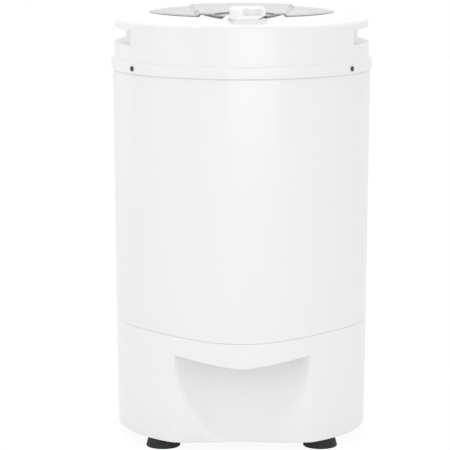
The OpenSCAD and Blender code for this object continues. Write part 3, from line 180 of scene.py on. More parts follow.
moulded("white_shell", (0.9, 0.9, 0.893), 0.34, depth=0.000006, tint=0.012, coat=0.15)
moulded("white_knob", (0.92, 0.92, 0.92), 0.3, depth=0.000006, tint=0.012)
moulded("lid_white", (0.82, 0.82, 0.82), 0.36, tint=0.02)
moulded("latch_plastic", (0.62, 0.63, 0.65), 0.4)
moulded("tub_plastic", (0.66, 0.7, 0.74), 0.38, grain=0.001)
moulded("balance_plastic", (0.62, 0.66, 0.7), 0.32, grain=0.0008)
moulded("capacitor_can", (0.7, 0.71, 0.71), 0.35)
moulded("terminal_plastic", (0.7, 0.69, 0.58), 0.5)
moulded("black_plastic", (0.02, 0.02, 0.022), 0.42, depth=0.00002, tint=0.2)
moulded("cable_sheath", (0.022, 0.022, 0.024), 0.35, tint=0.2)
moulded("foot_rubber", (0.016, 0.016, 0.016), 0.7, 0.0009, 0.00005, tint=0.3)
moulded("seal_rubber", (0.02, 0.02, 0.02), 0.62, 0.0008, 0.00004, tint=0.3)
moulded("hose_rubber", (0.022, 0.022, 0.023), 0.55, 0.001, 0.00005, tint=0.3)
moulded("brake_friction", (0.06, 0.04, 0.028), 0.85, 0.0012, 0.0002, tint=0.5)
print(len(FINISHES), "plastics and rubbers")

# %% [markdown]
# The metals differ in how they were worked: drawn or rolled sheet has long fine lines, turned
# steel has rings, and a die casting has a dull, slightly pitted skin. All of them come from one
# noise. Lumps that are wide across the machine's axis and thin along it read as rings round a
# shaft or a basket, and lumps that are as long as they are wide read as a skin.

# %% Metals
CLOUD, STAIN = 0.02, 0.25  # metres across a stain, and how much darker it makes the metal
LINE_ROUGH, CLOUD_ROUGH = 0.08, 0.06  # what the lines and the stains add to the roughness


def metal(slot, colour, roughness, size, stretch=(1, 1, 1), depth=0.00002):
    """Bare metal: worked lines in roughness and normal, and a faint stain in the colour."""
    def build(tree):
        lines = noise(tree, size, detail=4, stretch=stretch)
        cloud = ramp(tree, noise(tree, CLOUD, detail=4), 0.35, 0.75)
        dull = tuple(c * (1 - STAIN) for c in colour)
        return {"Base Color": blend_colours(tree, cloud, dull, colour),
                "Roughness": (roughness - LINE_ROUGH + 2 * LINE_ROUGH * lines
                              + CLOUD_ROUGH * cloud),
                "Normal": bump(tree, lines, depth, 0.5)}
    finish(slot, {"Metallic": 1.0}, build)


metal("basket_steel", (0.66, 0.67, 0.68), 0.28, 0.0006, (30, 30, 0.6))
metal("zinc_steel", (0.55, 0.56, 0.58), 0.34, 0.001)
metal("pin_steel", (0.6, 0.6, 0.62), 0.16, 0.0006, (8, 8, 0.5))
metal("bearing_steel", (0.66, 0.66, 0.68), 0.14, 0.0006, (8, 8, 0.5))
metal("spring_steel", (0.5, 0.5, 0.52), 0.25, 0.0005)
metal("cast_aluminium", (0.56, 0.57, 0.59), 0.48, 0.0012, depth=0.00008)
metal("drum_iron", (0.2, 0.2, 0.21), 0.42, 0.0006, (12, 12, 0.5), 0.00004)
metal("lamination_steel", (0.16, 0.165, 0.17), 0.5, 0.0005, (60, 60, 1), 0.00012)
metal("copper_winding", (0.42, 0.12, 0.04), 0.3, 0.0008, (8, 8, 1), 0.0002)

# %% [markdown]
# The motor and the plates under the basket are painted or zinc plated sheet. Paint levels out
# into a low orange peel, and its gloss is duller in patches, so two noises of very different
# size do for it.

# %% Painted sheet
PATCH, PATCH_DARK, PATCH_ROUGH = 0.03, 0.85, 0.1  # metres across, colour times, roughness plus
PEEL, PEEL_DEPTH = 0.0015, 0.00004  # metres across and high


def painted(slot, colour, roughness):
    """Paint or zinc over sheet: a low orange peel and a few duller patches."""
    def build(tree):
        patch = ramp(tree, noise(tree, PATCH, detail=4), 0.4, 0.7)
        dull = tuple(c * PATCH_DARK for c in colour)
        return {"Base Color": blend_colours(tree, patch, dull, colour),
                "Roughness": roughness + PATCH_ROUGH * patch,
                "Normal": bump(tree, noise(tree, PEEL), PEEL_DEPTH, 0.5)}
    finish(slot, {"Metallic": 0.35, "Coat Weight": 0.2}, build)


painted("motor_paint", (0.2, 0.21, 0.23), 0.4)
painted("plate_steel", (0.3, 0.32, 0.34), 0.42)
# The black of dark_screw is painted shade: the screw heads sit in the band's slots, and their
# black stands for the shadow inside those slots.
painted("dark_screw", (0.03, 0.03, 0.032), 0.35)
print(len(FINISHES), "finishes so far")

# %% [markdown]
# The lid is clear plastic dyed smoke grey, so the mouth shows faintly through it from above,
# while at the camera's low angle it mostly mirrors the bright room.

# %% The lid's smoke plastic
CLEAN, WIPED = (0.1, 0.102, 0.105), (0.13, 0.132, 0.135)
SMOKE_SOCKETS = {"IOR": 1.58, "Alpha": 0.84, "Coat Weight": 1.0, "Coat Roughness": 0.04}


def smoke(tree):
    """Dark grey that lets a sixth of the light through, with a faint haze from wiping."""
    haze = noise(tree, 0.01, detail=4, stretch=(6, 1, 1))
    return {"Base Color": blend_colours(tree, haze, CLEAN, WIPED),
            "Roughness": 0.1 + 0.08 * haze,
            "Normal": bump(tree, noise(tree, 0.02, detail=1), 0.00003, 0.5)}


finish("smoke_lid", SMOKE_SOCKETS, smoke)
for material in frame["record"]["materials"]:
    assert material["slot"] in FINISHES, material["slot"]
SLOT_OF = {part["node"]: part["material_slot"] for part in frame["record"]["subparts"]}
for name, solid in nodes.items():
    solid.data.materials.clear()
    solid.data.materials.append(FINISHES[SLOT_OF[name]])
print("every solid has its finish")

# %% [markdown]
# A moulded shell is a section carried round the axis. All shells here are grids of points: rows
# run along the section and columns run round the machine. Where a shell has a pocket, its rows
# still exist beside the pocket, pressed together to nothing, so one grid holds the whole piece.
# Points that are pressed together are merged when the mesh is made.

# %% Surfaces on grids
MERGE = 1e-5  # metres between points that become one


def grid_quads(rows, cols):
    """Corner numbers of the quads of a grid whose points go row by row, and whose last row and
    column join the first ones."""
    i, j = np.meshgrid(np.arange(rows), np.arange(cols), indexing="ij")
    i2, j2 = (i + 1) % rows, (j + 1) % cols
    return np.stack([i * cols + j, i * cols + j2, i2 * cols + j2, i2 * cols + j], -1)


def volume(points, quads):
    """Space that a closed surface holds: a sixth of the sum of a . (b x c) over its triangles."""
    a, b, c, d = (points[quads[:, k]] for k in range(4))
    return (np.einsum("ij,ij->i", a, np.cross(b, c))
            + np.einsum("ij,ij->i", a, np.cross(c, d))).sum() / 6


def piece(name, points, quads, body, slot, stands_for, crease=35):
    """A mesh object from points in mm and quads, riding on a body in place of a solid. Faces that
    point inwards are turned, and edges sharper than crease degrees stay sharp."""
    points, quads = points.reshape(-1, 3) * MM, quads.reshape(-1, 4)
    if volume(points, quads) < 0:
        quads = quads[:, ::-1]
    mesh = bpy.data.meshes.new(name)
    mesh.from_pydata(points, [], np.ascontiguousarray(quads))
    work = bmesh.new()
    work.from_mesh(mesh)
    bmesh.ops.remove_doubles(work, verts=work.verts, dist=MERGE)
    bmesh.ops.dissolve_degenerate(work, edges=work.edges, dist=MERGE / 10)
    work.to_mesh(mesh)
    work.free()
    mesh.shade_smooth()
    mesh.set_sharp_from_angle(angle=math.radians(crease))
    mesh.materials.append(FINISHES[slot])
    made = bpy.data.objects.new(name, mesh)
    bpy.context.scene.collection.objects.link(made)
    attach(made, body)
    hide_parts(stands_for)
    size = (np.array(made.bound_box)[6] - np.array(made.bound_box)[0]) / MM
    print(name, len(mesh.polygons), "faces,", np.round(size, 1), "mm")


def swept(rows, turn):
    """Rows of r, z turned to each column's angle a: x = r sin a, y = -r cos a, so 0 is the
    front."""
    r, z, a = np.broadcast_arrays(rows[:, 0], rows[:, 1], turn[None])
    return np.stack([r * np.sin(a), -r * np.cos(a), z], -1)


def shell(name, rows, turn, body, slot, stands_for, crease=35):
    """A closed section carried once round the axis."""
    points = swept(rows, turn)
    piece(name, points, grid_quads(*points.shape[:2]), body, slot, stands_for, crease)


print("surface tools ready")

# %% [markdown]
# Sections have rounded corners and the shells have eased edges, as a mould's radii give them.
# A few small functions do this: one eases a step, one rounds the corner between two surfaces,
# one lays a rounded line through the corners of a section, and one follows a height function.

# %% Rounded corners and eased steps
CORNER_SHARE = 0.48  # of a section's side, the most that a corner's curve may take


def ease(t):
    """0 for t below 0, 1 above 1, and 3t^2 - 2t^3 between them."""
    t = np.clip(t, 0, 1)
    return t * t * (3 - 2 * t)


def inside(distance, width):
    """1 where distance is well above 0, and 0 well below, eased over width across 0."""
    return ease(distance / width + 0.5)


def soft_min(a, b, k):
    """The lesser of a and b, with the corner between them rounded over k."""
    h = np.clip(0.5 + 0.5 * (b - a) / k, 0, 1)
    return b + (a - b) * h - k * h * (1 - h)


def section(corners, radii, steps=5):
    """Rows of an r, z section through corners, each rounded by its radius with a curve
    (1-t)^2 p + 2t(1-t) q + t^2 s. A corner may differ from column to column."""
    cols = max(np.size(v) for corner in corners for v in corner)
    line = np.array([[np.broadcast_to(v, cols) for v in corner] for corner in corners], float)
    rows = []
    for k, radius in enumerate(radii):
        here = line[k]
        if radius == 0 or k in (0, len(radii) - 1):
            rows.append(here[None])
            continue
        ends = []
        for other in (line[k - 1], line[k + 1]):
            away = other - here
            length = np.sqrt((away ** 2).sum(0)) + 1e-9
            ends.append(here + away * np.minimum(radius / length, CORNER_SHARE))
        t = np.linspace(0, 1, steps)[:, None, None]
        rows.append((1 - t) ** 2 * ends[0] + 2 * t * (1 - t) * here + t ** 2 * ends[1])
    return np.concatenate(rows)


def rings(height, radii, turn):
    """Rows of r, z that follow the height function z = height(r, angle), one for each radius."""
    return np.stack([np.stack([np.full_like(turn, r), height(r, turn)]) for r in radii])


def angles(*stretches):
    """Column angles in radians from (first, last, step) stretches in degrees."""
    each = [np.arange(first, last - 1e-6, step) for first, last, step in stretches]
    return np.radians(np.unique(np.round(np.concatenate(each), 4)))


print("a step eased half way:", inside(0, 1))

# %% [markdown]
# The main sizes of the cabinet, in millimetres up from the floor and out from the axis. The base
# and the casing meet at a seam that dips in one long curve at the front.

# %% Sizes of the cabinet
BASE_Z, SEAM_Z, BAND_Z, SHOULDER_Z = 14, 165, 513, 528
BASE_R, SEAM_R, BAND_R = 173.7, 175.5, 180.5
SEAM_DIP, SEAM_REACH = 8.4, 135


def seam_at(angle):
    """The seam's height: SEAM_Z less a dip that falls as (1 - (x / reach)^2)^2 at the front."""
    x = SEAM_R * np.sin(angle)
    dip = np.clip(1 - (x / SEAM_REACH) ** 2, 0, 1) ** 2
    return SEAM_Z - SEAM_DIP * np.where(np.cos(angle) > 0, dip, 0)


def base_r(z):
    """Radius of the base, which widens a little towards the seam."""
    return BASE_R + (SEAM_R - BASE_R) * (z - BASE_Z) / (SEAM_Z - BASE_Z)


print("seam at the front", round(float(seam_at(np.array(0.0))), 1), "mm")

# %% [markdown]
# The casing is a plain sleeve that widens by 3 mm over its height. It could be a cylinder with a
# taper, but its lower edge has to follow the seam, so each column of the grid starts at the
# height where the seam is. The small radius at that edge catches the light as a fine line. Under
# the cover's band the wall steps in by 0.6 mm, and the step reads as a dark line.

# %% Casing
CASING_IN_R, CASING_R, NECK_R, NECK_IN_R = 173.1, 178.4, 177.8, 176.1
STEP_Z, NECK_Z, CASING_TOP_Z = 511, 512.4, 522.9

turn = angles((-180, 180, 1))
low = seam_at(turn)
rows = section([(CASING_IN_R, low), (SEAM_R, low), (CASING_R, STEP_Z), (NECK_R, NECK_Z),
                (NECK_R, CASING_TOP_Z), (NECK_IN_R, CASING_TOP_Z), (CASING_IN_R, low)],
               [0, 0.6, 0.4, 0.4, 0.3, 0.3, 0])[:-1]
shell("casing_shell", rows, turn, "cabinet", "white_shell", "casing")

# %% [markdown]
# The base is the hardest moulding. Its front has a niche for the rim of a basin: flat beside the
# edges, scooped out by a leaning cylinder in the middle, and covered above by a lip whose edge is
# a shallow V. First come the two surfaces that shape it, the niche's back and the lip's edge.

# %% Shape of the niche
NICHE_HALF_W, NICHE_CEILING, NICHE_RIM, NICHE_END = 93.5, 140, 122, 0.95
V_SLOPE, V_TIP = 0.175, 4.8
SCOOP_R, SCOOP_TOP_Y, SCOOP_LEAN, SCOOP_SOFT = 130, -101, math.radians(17.36), 5
FAR_OUT, ROUNDS = 1e3, 14


def niche_back(angle, z):
    """Distance from the axis to the niche's back. The back is the rear one of a flat wall and a
    leaning cylinder, y = y0 + sqrt(R^2 - x^2) / cos t, found along the ray by substitution. Past
    NICHE_END radians there is no niche, and the distance is far out."""
    flat = -np.sqrt(base_r(z) ** 2 - NICHE_HALF_W ** 2)
    y0 = SCOOP_TOP_Y - SCOOP_R / math.cos(SCOOP_LEAN) + (z - NICHE_CEILING) * math.tan(SCOOP_LEAN)
    near = np.clip(angle, -1.0, 1.0)
    out = -flat / np.cos(near)
    for _ in range(ROUNDS):
        x = np.clip(out * np.sin(near), -SCOOP_R + 1, SCOOP_R - 1)
        scoop = y0 + np.sqrt(SCOOP_R ** 2 - x ** 2) / math.cos(SCOOP_LEAN)
        out = soft_min(-flat, -scoop, SCOOP_SOFT) / np.cos(near)
    return np.where(np.abs(angle) > NICHE_END, FAR_OUT, out)


def rim_at(angle):
    """The lip's edge: a V whose point is rounded, as sqrt(c + (slope x)^2)."""
    x = np.clip(base_r(NICHE_RIM) * np.sin(angle), -NICHE_HALF_W, NICHE_HALF_W)
    return NICHE_RIM + np.sqrt(V_TIP + (V_SLOPE * x) ** 2) - math.sqrt(V_TIP)


print("lip in the middle", NICHE_RIM, "mm, at its ends", round(float(rim_at(np.array(0.6))), 1))

# %% [markdown]
# The back of the base has cooling slots, four at each side of its middle. They are holes in the
# grid: a column is left out between two rows, in the outer wall and in the inner wall behind it,
# and four strips of quads join the two openings.

# %% Cooling slots
SLOT_LOW, SLOT_HIGH, SLOT_HALF, SLOT_STEP = 76, 122, 0.66, 4  # mm, mm, degrees, degrees
ROWS_BELOW_SLOT, ROWS_BY_SLOT = 11, 9
SLOT_ANGLES = [180 + SLOT_STEP * i for i in range(-5, 6) if abs(i) > 1]


def cut_slots(quads, turn, first, mirror):
    """The grid's quads without those of the slots, plus the slots' four walls. Row first is at
    the slots' foot, and mirror gives the inner row behind each outer one."""
    cols, last = len(turn), first + ROWS_BY_SLOT
    keep = np.ones(quads.shape[:2], bool)
    walls = []
    for slot in SLOT_ANGLES:
        j = int(np.argmin(np.abs(turn - math.radians(slot - SLOT_HALF))))
        keep[first:last, j] = False
        keep[mirror[last]:mirror[first], j] = False
        i = np.arange(first, last)
        outer, behind = i * cols, mirror[i] * cols
        outer_up, behind_up = (i + 1) * cols, mirror[i + 1] * cols
        walls += [np.stack([outer_up, outer, behind, behind_up], -1) + j,
                  np.stack([outer, outer_up, behind_up, behind], -1) + j + 1]
        for i, a, b in ((first, j, j + 1), (last, j + 1, j)):
            walls.append(np.array([[i * cols + a, i * cols + b,
                                    mirror[i] * cols + b, mirror[i] * cols + a]]))
    return np.concatenate([quads[keep], *walls])


print(len(SLOT_ANGLES), "slots")

# %% [markdown]
# One grid does the whole base. Each column runs from the floor opening out under the base, up the
# niche's back, forward along its ceiling, round the lip, up to the seam and down inside. Beyond
# the niche the pocket's rows lie pressed together on the wall. A spigot above the seam reaches up
# into the casing, and a curb stands round the floor opening.

# %% Base with its niche
BASE_WALL, LIP_WALL, SEAM_GAP, LIP_GAP = 3, 2.6, 0.25, 0.5
FLOOR_IN_R, CURB_R, CURB_Z = 92, 94.5, 26
SPIGOT_R, SPIGOT_IN_R, SPIGOT_TOP_Z, SPIGOT_LOW_Z = 172.7, 169.9, 178.5, 147
NICHE_EDGE_Z, NICHE_EDGE_EASE, NICHE_EDGE_SOFT = 136, math.radians(3), 4
FADE_BELOW, FADE_OVER = 10, 18  # where the back gives way to the plain wall beside the lip
BEHIND = 3.0  # radians, a column at the back, far from the niche

turn = angles((-36, 36.01, 0.4), (36, 156, 1.5), (204, 324, 1.5), (158, 203, 4),
              *[(s - SLOT_HALF, s + SLOT_HALF + 0.01, 2 * SLOT_HALF) for s in SLOT_ANGLES])
near_niche = np.abs(turn) < NICHE_END
edge = math.asin(NICHE_HALF_W / base_r(NICHE_EDGE_Z))
pocket = np.where(near_niche, ease((edge - np.abs(turn)) / NICHE_EDGE_EASE), 0)
lip = np.where(near_niche, rim_at(turn), rim_at(np.array(edge)))
ceiling = lip + LIP_GAP + (NICHE_CEILING - LIP_GAP - lip) * pocket


def wall(z):
    """Radius of the outer wall: the base's own, or the niche's back where that is further in."""
    plain = base_r(z)
    back = soft_min(plain, niche_back(np.where(near_niche, turn, BEHIND), z), NICHE_EDGE_SOFT)
    near_lip = ease((z - NICHE_RIM + FADE_BELOW) / FADE_OVER)
    return plain + (back - plain) * (1 - near_lip * (1 - pocket))


def level(z):
    """One height for all columns."""
    return np.full_like(turn, z)


floor_z = BASE_Z + BASE_WALL
levels = np.concatenate([np.linspace(floor_z, SLOT_LOW, ROWS_BELOW_SLOT + 1),
                         np.linspace(SLOT_LOW, SLOT_HIGH, ROWS_BY_SLOT + 1)[1:]])
side = np.stack([np.stack([wall(level(z)), level(z)]) for z in levels])
seam = seam_at(turn) - SEAM_GAP
lip_in = base_r(lip) - LIP_WALL * pocket
under = section([(FLOOR_IN_R, BASE_Z), (wall(level(BASE_Z)), BASE_Z), tuple(side[0])],
                [1, 2.2, 0])[:-1]
over = section([tuple(side[-1]), (wall(ceiling), ceiling), (lip_in, ceiling), (lip_in, lip),
                (base_r(lip), lip), (base_r(seam), seam), (SPIGOT_R, seam),
                (SPIGOT_R, SPIGOT_TOP_Z), (SPIGOT_IN_R, SPIGOT_TOP_Z),
                (SPIGOT_IN_R, SPIGOT_LOW_Z), (base_r(SPIGOT_LOW_Z) - BASE_WALL, SPIGOT_LOW_Z),
                (base_r(SPIGOT_LOW_Z - 2) - BASE_WALL, ceiling + BASE_WALL),
                (wall(ceiling) - BASE_WALL, ceiling + BASE_WALL),
                (side[-1][0] - BASE_WALL, side[-1][1])],
               [0, 5, 1.5, 1.3, 1.3, 0.6, 0.3, 0.5, 0.5, 0, 0, 1, 5, 0])[1:-1]
inner = (side - np.array([BASE_WALL, 0])[:, None])[::-1]
close = section([tuple(inner[-1]), (CURB_R, floor_z), (CURB_R, CURB_Z), (FLOOR_IN_R, CURB_Z),
                 (FLOOR_IN_R, BASE_Z)], [0, 1, 0.5, 0.5, 0])[1:-1]
rows = np.concatenate([under, side, over, inner, close])
points = swept(rows, turn)
up_the_side = np.arange(len(rows)) - len(under)
mirror = len(under) + len(side) + len(over) + len(side) - 1 - up_the_side
quads = cut_slots(grid_quads(*points.shape[:2]), turn, len(under) + ROWS_BELOW_SLOT, mirror)
piece("base_shell", points, quads, "cabinet", "white_shell", "base_skirt")

# %% [markdown]
# The cover's crown is a height at each point. It slopes up to the lid. A low platform carries on
# from the lid's raised strip, a little narrower than the strip. Before the lid the front is
# dished for a finger, but the latch stands on a round foot in the dish, with a low seat under its
# knob and a flat room for its tongue. At the back the hinge has a pocket. Each change of level
# is eased over a millimetre or two, as a mould's radius would.

# %% Height of the crown
CROWN_Z, CROWN_SLOPE, SEAT_R, SEAT_Z, CROWN_EDGE_R = 590, 7.5 / 42.7, 128.5, 583, 171.2
STRIP_FRONT, STRIP_REAR, STRIP_RISE, STRIP_EDGE = 54, 79, 3, 4.4
NARROW_FROM, NARROW_OVER, NARROW_TAPER = 90, 38, 0.022
PLATFORM_NARROW, PLATFORM_FALL, PLATFORM_LIFT, LIFT_OVER = 3, 0.6, 0.4, 16
DISH_Z, DISH_R, DISH_SOFT = 587, 246, 1.5
LATCH_X, LATCH_Y = 7, -146
STAND_X, STAND_R, STAND_EDGE, STAND_RISE = -2.3, 24.6, 2, 9
KNOB_HALF_X, KNOB_HALF_Y, KNOB_ROUND, KNOB_SEAT_Z = 12.5, 7, 11.2, 590.4
TONGUE_ROOM_R, TONGUE_ROOM_Z, TONGUE_HALF, SPINDLE_ROOM_R = 24.3, 586.9, 6, 10.5
HINGE_HALF, HINGE_BACK, ENDS_Y = 44, 144, 100


def over_strip(x, y, narrow=0):
    """1 on the raised strip, whose half width grows from the front to the back, and 0 off it.
    Before the lid the half width is less by narrow, and tapers more."""
    half = STRIP_FRONT + (STRIP_REAR - STRIP_FRONT) * (y + CROWN_EDGE_R) / (2 * CROWN_EDGE_R)
    taper = NARROW_TAPER * np.maximum(-y - SEAT_R, 0)
    half = half - narrow * (ease((-y - NARROW_FROM) / NARROW_OVER) + taper)
    return inside(half - np.abs(x), STRIP_EDGE)


def tongue_room(x, y):
    """1 on the flat room of the tongue, 0 off it: a disc round the spindle and the quarter of a
    circle that the tongue turns in."""
    x, y = x - LATCH_X, y - LATCH_Y
    out = np.hypot(x, y)
    quarter = np.minimum(np.minimum(TONGUE_ROOM_R - out, TONGUE_HALF - x), y + TONGUE_HALF)
    return inside(np.maximum(quarter, SPINDLE_ROOM_R - out), 0.5)


def dish_at(x, y):
    """The finger dish: a shallow sphere, z0 + (x^2 + (y - y0)^2) / 2R, which the latch's round
    stand lifts out of the way."""
    dish = DISH_Z + (x ** 2 + (y + SEAT_R) ** 2) / (2 * DISH_R)
    return dish + STAND_RISE * inside(STAND_R - np.hypot(x - STAND_X, y - LATCH_Y), STAND_EDGE)


def crown_at(r, angle):
    """The crown's height: a slope, plus the platform, which is lower towards the edge and higher
    just before the lid. At the front the dish is pressed into it, then the knob's seat is raised
    in the dish and the tongue's room sunk, and at the back comes the hinge's pocket."""
    x, y = r * np.sin(angle), -r * np.cos(angle)
    fade = 1 - PLATFORM_FALL * np.clip((r - SEAT_R) / (CROWN_EDGE_R - SEAT_R), 0, 1)
    fade = fade + PLATFORM_LIFT * ease((SEAT_R + LIFT_OVER - r) / LIFT_OVER) * ease(-y - ENDS_Y)
    platform = STRIP_RISE * fade * over_strip(x, y, PLATFORM_NARROW)
    z = CROWN_Z - CROWN_SLOPE * (r - SEAT_R) + platform
    z = np.where(y < 0, soft_min(z, dish_at(x, y), DISH_SOFT), z)
    from_knob = np.hypot(np.maximum(np.abs(x - LATCH_X) - KNOB_HALF_X, 0),
                         np.maximum(np.abs(y - LATCH_Y) - KNOB_HALF_Y, 0))
    z = z + (KNOB_SEAT_Z - z) * ease(KNOB_ROUND - from_knob)
    z = z - np.maximum(z - TONGUE_ROOM_Z, 0) * tongue_room(x, y)
    pocket = inside(np.minimum(HINGE_HALF - np.abs(x), HINGE_BACK - y), 1.5) * ease(y - ENDS_Y)
    return z + (SEAT_Z - z) * pocket


print("dish at the lid", round(float(crown_at(129, np.array(-0.2))), 1), "mm")

# %% [markdown]
# The rest of the top cover has a band that laps over the casing, and a wall with a long hand grip
# in each side. The grips are made like the niche, as rows that open out of the wall. Inside, a
# ledge carries the lid and a skirt reaches down round the mouth. Columns are close where a grip
# ends, at the latch and at the hinge, and wide elsewhere.

# %% Top cover
CROWN_IN_R, CROWN_OUT_R, COVER_TOP_R, COVER_LOW_R = 127, 166, 175.2, 176.9
COVER_WALL, COVER_TOP_Z, BAND_IN_R, SHOULDER_IN_Z = 2.6, 578.5, 178.7, 526
GRIP_LOW, GRIP_HIGH, GRIP_DEEP = 550.5, 570.5, 15.5
GRIP_HALF, GRIP_EASE = math.radians(31), math.radians(2.2)
LEDGE_R, LEDGE_LOW_Z, SKIRT_R, SKIRT_OUT_R, SKIRT_LOW_Z = 104.5, 580, 133.5, 136, 520


def cover_r(z):
    """Radius of the cover's wall, which leans in a little."""
    lean = (COVER_TOP_R - COVER_LOW_R) * (z - SHOULDER_Z) / (COVER_TOP_Z - SHOULDER_Z)
    return COVER_LOW_R + lean


turn = angles((-28, 28, 0.4), (28, 54, 1.5), (54, 64, 0.5), (64, 116, 2), (116, 126, 0.5),
              (126, 140, 1.5), (140, 220, 0.5), (220, 234, 1.5), (234, 244, 0.5),
              (244, 296, 2), (296, 306, 0.5), (306, 332, 1.5))
from_side = np.abs(np.abs((turn + np.pi) % (2 * np.pi) - np.pi) - np.pi / 2)
grip = GRIP_DEEP * ease((GRIP_HALF - from_side) / GRIP_EASE)
low, high = cover_r(GRIP_LOW), cover_r(GRIP_HIGH)
rim = crown_at(COVER_TOP_R, turn)
thick = COVER_WALL
outside = section([(BAND_IN_R, BAND_Z), (BAND_R, BAND_Z), (BAND_R, SHOULDER_Z),
                   (COVER_LOW_R, SHOULDER_Z), (low, GRIP_LOW), (low - grip, GRIP_LOW),
                   (high - grip, GRIP_HIGH), (high, GRIP_HIGH), (COVER_TOP_R, rim),
                   (CROWN_OUT_R, crown_at(CROWN_OUT_R, turn))],
                  [0.2, 0.8, 2, 1, 1.6, 4, 4, 1.6, 5, 0], 6)
crown = rings(crown_at, np.linspace(CROWN_OUT_R - 1, CROWN_IN_R + 2, 36), turn)
ledge = section([tuple(crown[-1]), (CROWN_IN_R, crown_at(CROWN_IN_R, turn)),
                 (CROWN_IN_R, SEAT_Z), (LEDGE_R, SEAT_Z), (LEDGE_R, LEDGE_LOW_Z),
                 (SKIRT_R, LEDGE_LOW_Z), (SKIRT_R, SKIRT_LOW_Z), (SKIRT_OUT_R, SKIRT_LOW_Z),
                 (SKIRT_OUT_R, crown_at(SKIRT_OUT_R, turn) - thick)],
                [0, 0.7, 0.8, 0.6, 0.3, 0, 0.5, 0.5, 0], 4)[1:]
below = rings(lambda r, angle: crown_at(r, angle) - thick,
              np.linspace(SKIRT_OUT_R + 2, CROWN_OUT_R + 3, 14), turn)
lining = section([tuple(below[-1]), (COVER_TOP_R - thick, rim - thick - 1),
                  (high - thick, GRIP_HIGH + thick), (high - grip - thick, GRIP_HIGH + thick),
                  (low - grip - thick, GRIP_LOW - thick), (low - thick, GRIP_LOW - thick),
                  (COVER_LOW_R - thick, SHOULDER_IN_Z), (BAND_IN_R, SHOULDER_IN_Z),
                  (BAND_IN_R, BAND_Z)],
                 [0, 2, 0.5, 2, 2, 0.5, 1, 0.3, 0], 4)[1:-1]
rows = np.concatenate([outside[:-1], crown, ledge, below, lining])
shell("cover_shell", rows, turn, "cabinet", "white_shell", "top_cover")

# %% [markdown]
# The lid is a thin disc with a turned-down rim and the raised strip across it. The strip and the
# disc fall away by about a millimetre towards the rim. A round recess lowers the strip at the
# front, and behind the latch a deeper cup takes the knob and the tongue as they turn. The top
# and the underside are the same height function, 3 mm apart, so the strip is hollow below, as a
# moulding of even wall is. At the back the rim is cut away for the hinge's leaf.

# %% Height of the lid
LID_R, LID_Z, LID_WALL = 126, 592, 3
STRIP_WIDER, STRIP_END, STRIP_END_EASE = 0.8, 0.2, 1.6
RIM_FALL, STRIP_FALL, FALL_FROM, FALL_OVER = 0.9, 0.3, 114, 11
RECESS_X, RECESS_Y, RECESS_R, RECESS_SLOPE, RECESS_FRONT = 3, -122, 42, 0.045, -123
CUP_HALF, CUP_BACK, CUP_Z, HOLLOW_EDGE = 24.5, -116, 585.3, 1.2


def lid_at(r, angle, grow=0):
    """The lid's height: level, plus the strip that falls away at the rim and in the round recess,
    with the cup sunk into it. For the underside both hollows grow by the wall."""
    x, y = r * np.sin(angle), -r * np.cos(angle)
    strip = over_strip(x, y, -STRIP_WIDER)
    rise = (STRIP_RISE * strip * ease((LID_R - STRIP_END - r) / STRIP_END_EASE)
            - (RIM_FALL + STRIP_FALL * strip) * ease((r - FALL_FROM) / FALL_OVER))
    recess = inside(RECESS_R + grow - np.hypot(x - RECESS_X, y - RECESS_Y), HOLLOW_EDGE)
    left = RECESS_SLOPE * np.maximum(y - RECESS_FRONT, 0)
    rise = rise + (np.minimum(left, rise) - rise) * recess
    cup = inside(np.minimum(CUP_HALF + grow - np.abs(x - LATCH_X), CUP_BACK + grow - y),
                 HOLLOW_EDGE)
    return LID_Z + rise + (CUP_Z - LID_Z - rise) * cup


print("strip in the middle", round(float(lid_at(0, np.array(0.0))), 1), "mm")

# %% Lid
LID_LOW_Z, LEAF_HALF, LEAF_Z, RIM_IN_R, RIM_ROOT_R = 583.3, 34.3, 588.8, 123, 121


def lid_under(r, angle):
    """The underside: the wall below the top, but nowhere lower than the rim's foot."""
    return np.maximum(lid_at(r, angle, LID_WALL) - LID_WALL, LID_LOW_Z)


turn = angles((-28, 28, 0.4), (28, 332, 0.5))
top = rings(lid_at, np.concatenate([np.linspace(0, 60, 16), np.linspace(62, 112, 34),
                                    np.linspace(112.8, 124.6, 16)]), turn)
rim = lid_at(LID_R, turn)
by_leaf = (np.abs(LID_R * np.sin(turn)) < LEAF_HALF) & (np.cos(turn) < 0)
foot = np.where(by_leaf, LEAF_Z, LID_LOW_Z)
edge = section([tuple(top[-1]), (LID_R, rim), (LID_R, foot), (RIM_IN_R, foot),
                (RIM_IN_R, np.maximum(rim - LID_WALL, foot)),
                (RIM_ROOT_R, lid_under(RIM_ROOT_R, turn))], [0, 1.3, 0.5, 0.5, 0.5, 0])[1:]
under = rings(lid_under, np.concatenate([np.linspace(119, 62, 30), np.linspace(60, 0, 12)]), turn)
rows = np.concatenate([top, edge, under])
shell("lid_shell", rows, turn, "lid", "smoke_lid", "lid_panel", crease=50)

# %% [markdown]
# The room is bright and even. The ground and the room read white to the camera and in
# reflections, while the room lights the object at a lower level, and four soft lamps bring it up
# to a plain one, so that a colour renders about as it is written. The ground keeps a faint shadow
# under the feet, because a tenth of it is plain lit paper.

# %% Ground and room
GROUND_HALF, PAPER_COLOUR, PAPER_GLOW, GLOW_SHARE = 6, (0.9, 0.9, 0.9, 1), 1.03, 0.9
ROOM_LIGHT = 0.79
WHITE = (1, 1, 1, 1)


def seen_directly(tree):
    """1 for camera, mirror and clear-glass rays, and 0 for the light that falls on things."""
    rays = [add_node(tree, "ShaderNodeLightPath", out=name)
            for name in ("Is Camera Ray", "Is Glossy Ray", "Is Transmission Ray")]
    return rays[0].sign("MAXIMUM", rays[0].sign("MAXIMUM", rays[0], rays[1]), rays[2])


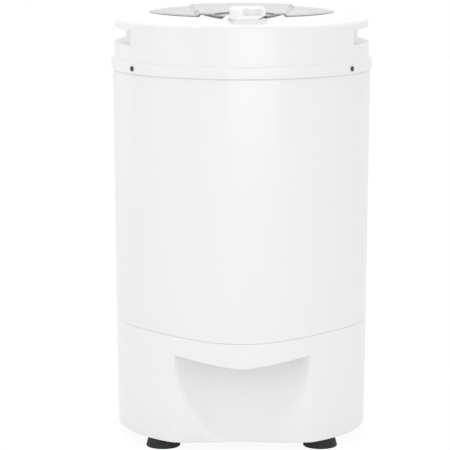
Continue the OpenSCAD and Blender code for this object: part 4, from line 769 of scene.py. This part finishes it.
h = GROUND_HALF
ground_mesh = bpy.data.meshes.new("ground")
ground_mesh.from_pydata([(-h, -h, 0), (h, -h, 0), (h, h, 0), (-h, h, 0)], [], [(0, 1, 2, 3)])
ground = bpy.data.objects.new("ground", ground_mesh)
bpy.context.scene.collection.objects.link(ground)
paper = bpy.data.materials.new("paper")
paper.use_nodes = True
tree = paper.node_tree
tree.nodes.clear()
lit = add_node(tree, "ShaderNodeBsdfDiffuse", {}, {"Color": PAPER_COLOUR})
glow = add_node(tree, "ShaderNodeEmission", {}, {"Color": WHITE, "Strength": PAPER_GLOW})
mixed = add_node(tree, "ShaderNodeMixShader", {},
                 {0: seen_directly(tree) * GLOW_SHARE, 1: lit, 2: glow})
tree.links.new(mixed.socket, tree.nodes.new("ShaderNodeOutputMaterial").inputs["Surface"])
ground_mesh.materials.append(paper)

world = bpy.data.worlds.new("room")
bpy.context.scene.world = world
world.use_nodes = True
tree = world.node_tree
tree.nodes.clear()
seen = seen_directly(tree)
sky = add_node(tree, "ShaderNodeBackground", {},
               {"Color": WHITE, "Strength": ROOM_LIGHT + (1 - ROOM_LIGHT) * seen})
tree.links.new(sky.socket, tree.nodes.new("ShaderNodeOutputWorld").inputs["Surface"])
print("room at", ROOM_LIGHT)

# %% [markdown]
# The lamps are soft boxes. The widest stands in front, a little to the right, and one hangs
# above. Two weak ones on the left, one of them behind, keep that side from going dull.

# %% Lamps
def lamp(name, at, aim, width, height, power):
    """A soft box of that size in metres, turned so that it faces the point aim."""
    data = bpy.data.lights.new(name, "AREA")
    data.shape = "RECTANGLE"
    data.size, data.size_y, data.energy = width, height, power
    made = bpy.data.objects.new(name, data)
    made.location = at
    away = np.array(at, float) - np.array(aim, float)
    made.rotation_euler = (math.acos(away[2] / np.linalg.norm(away)), 0,
                           math.atan2(away[1], away[0]) + math.pi / 2)
    bpy.context.scene.collection.objects.link(made)
    print(name, power, "W")


lamp("front_box", (0.5, -3.2, 0.45), (0, 0, 0.3), 2.4, 0.8, 14)
lamp("left_box", (-2.2, -0.9, 0.9), (0, 0, 0.3), 1.2, 1.8, 3)
lamp("rim_box", (-1.8, 1.3, 0.8), (0, 0, 0.4), 1.0, 1.6, 1.5)
lamp("top_box", (0, 0.2, 2.4), (0, 0, 0.5), 1.6, 1.6, 13)
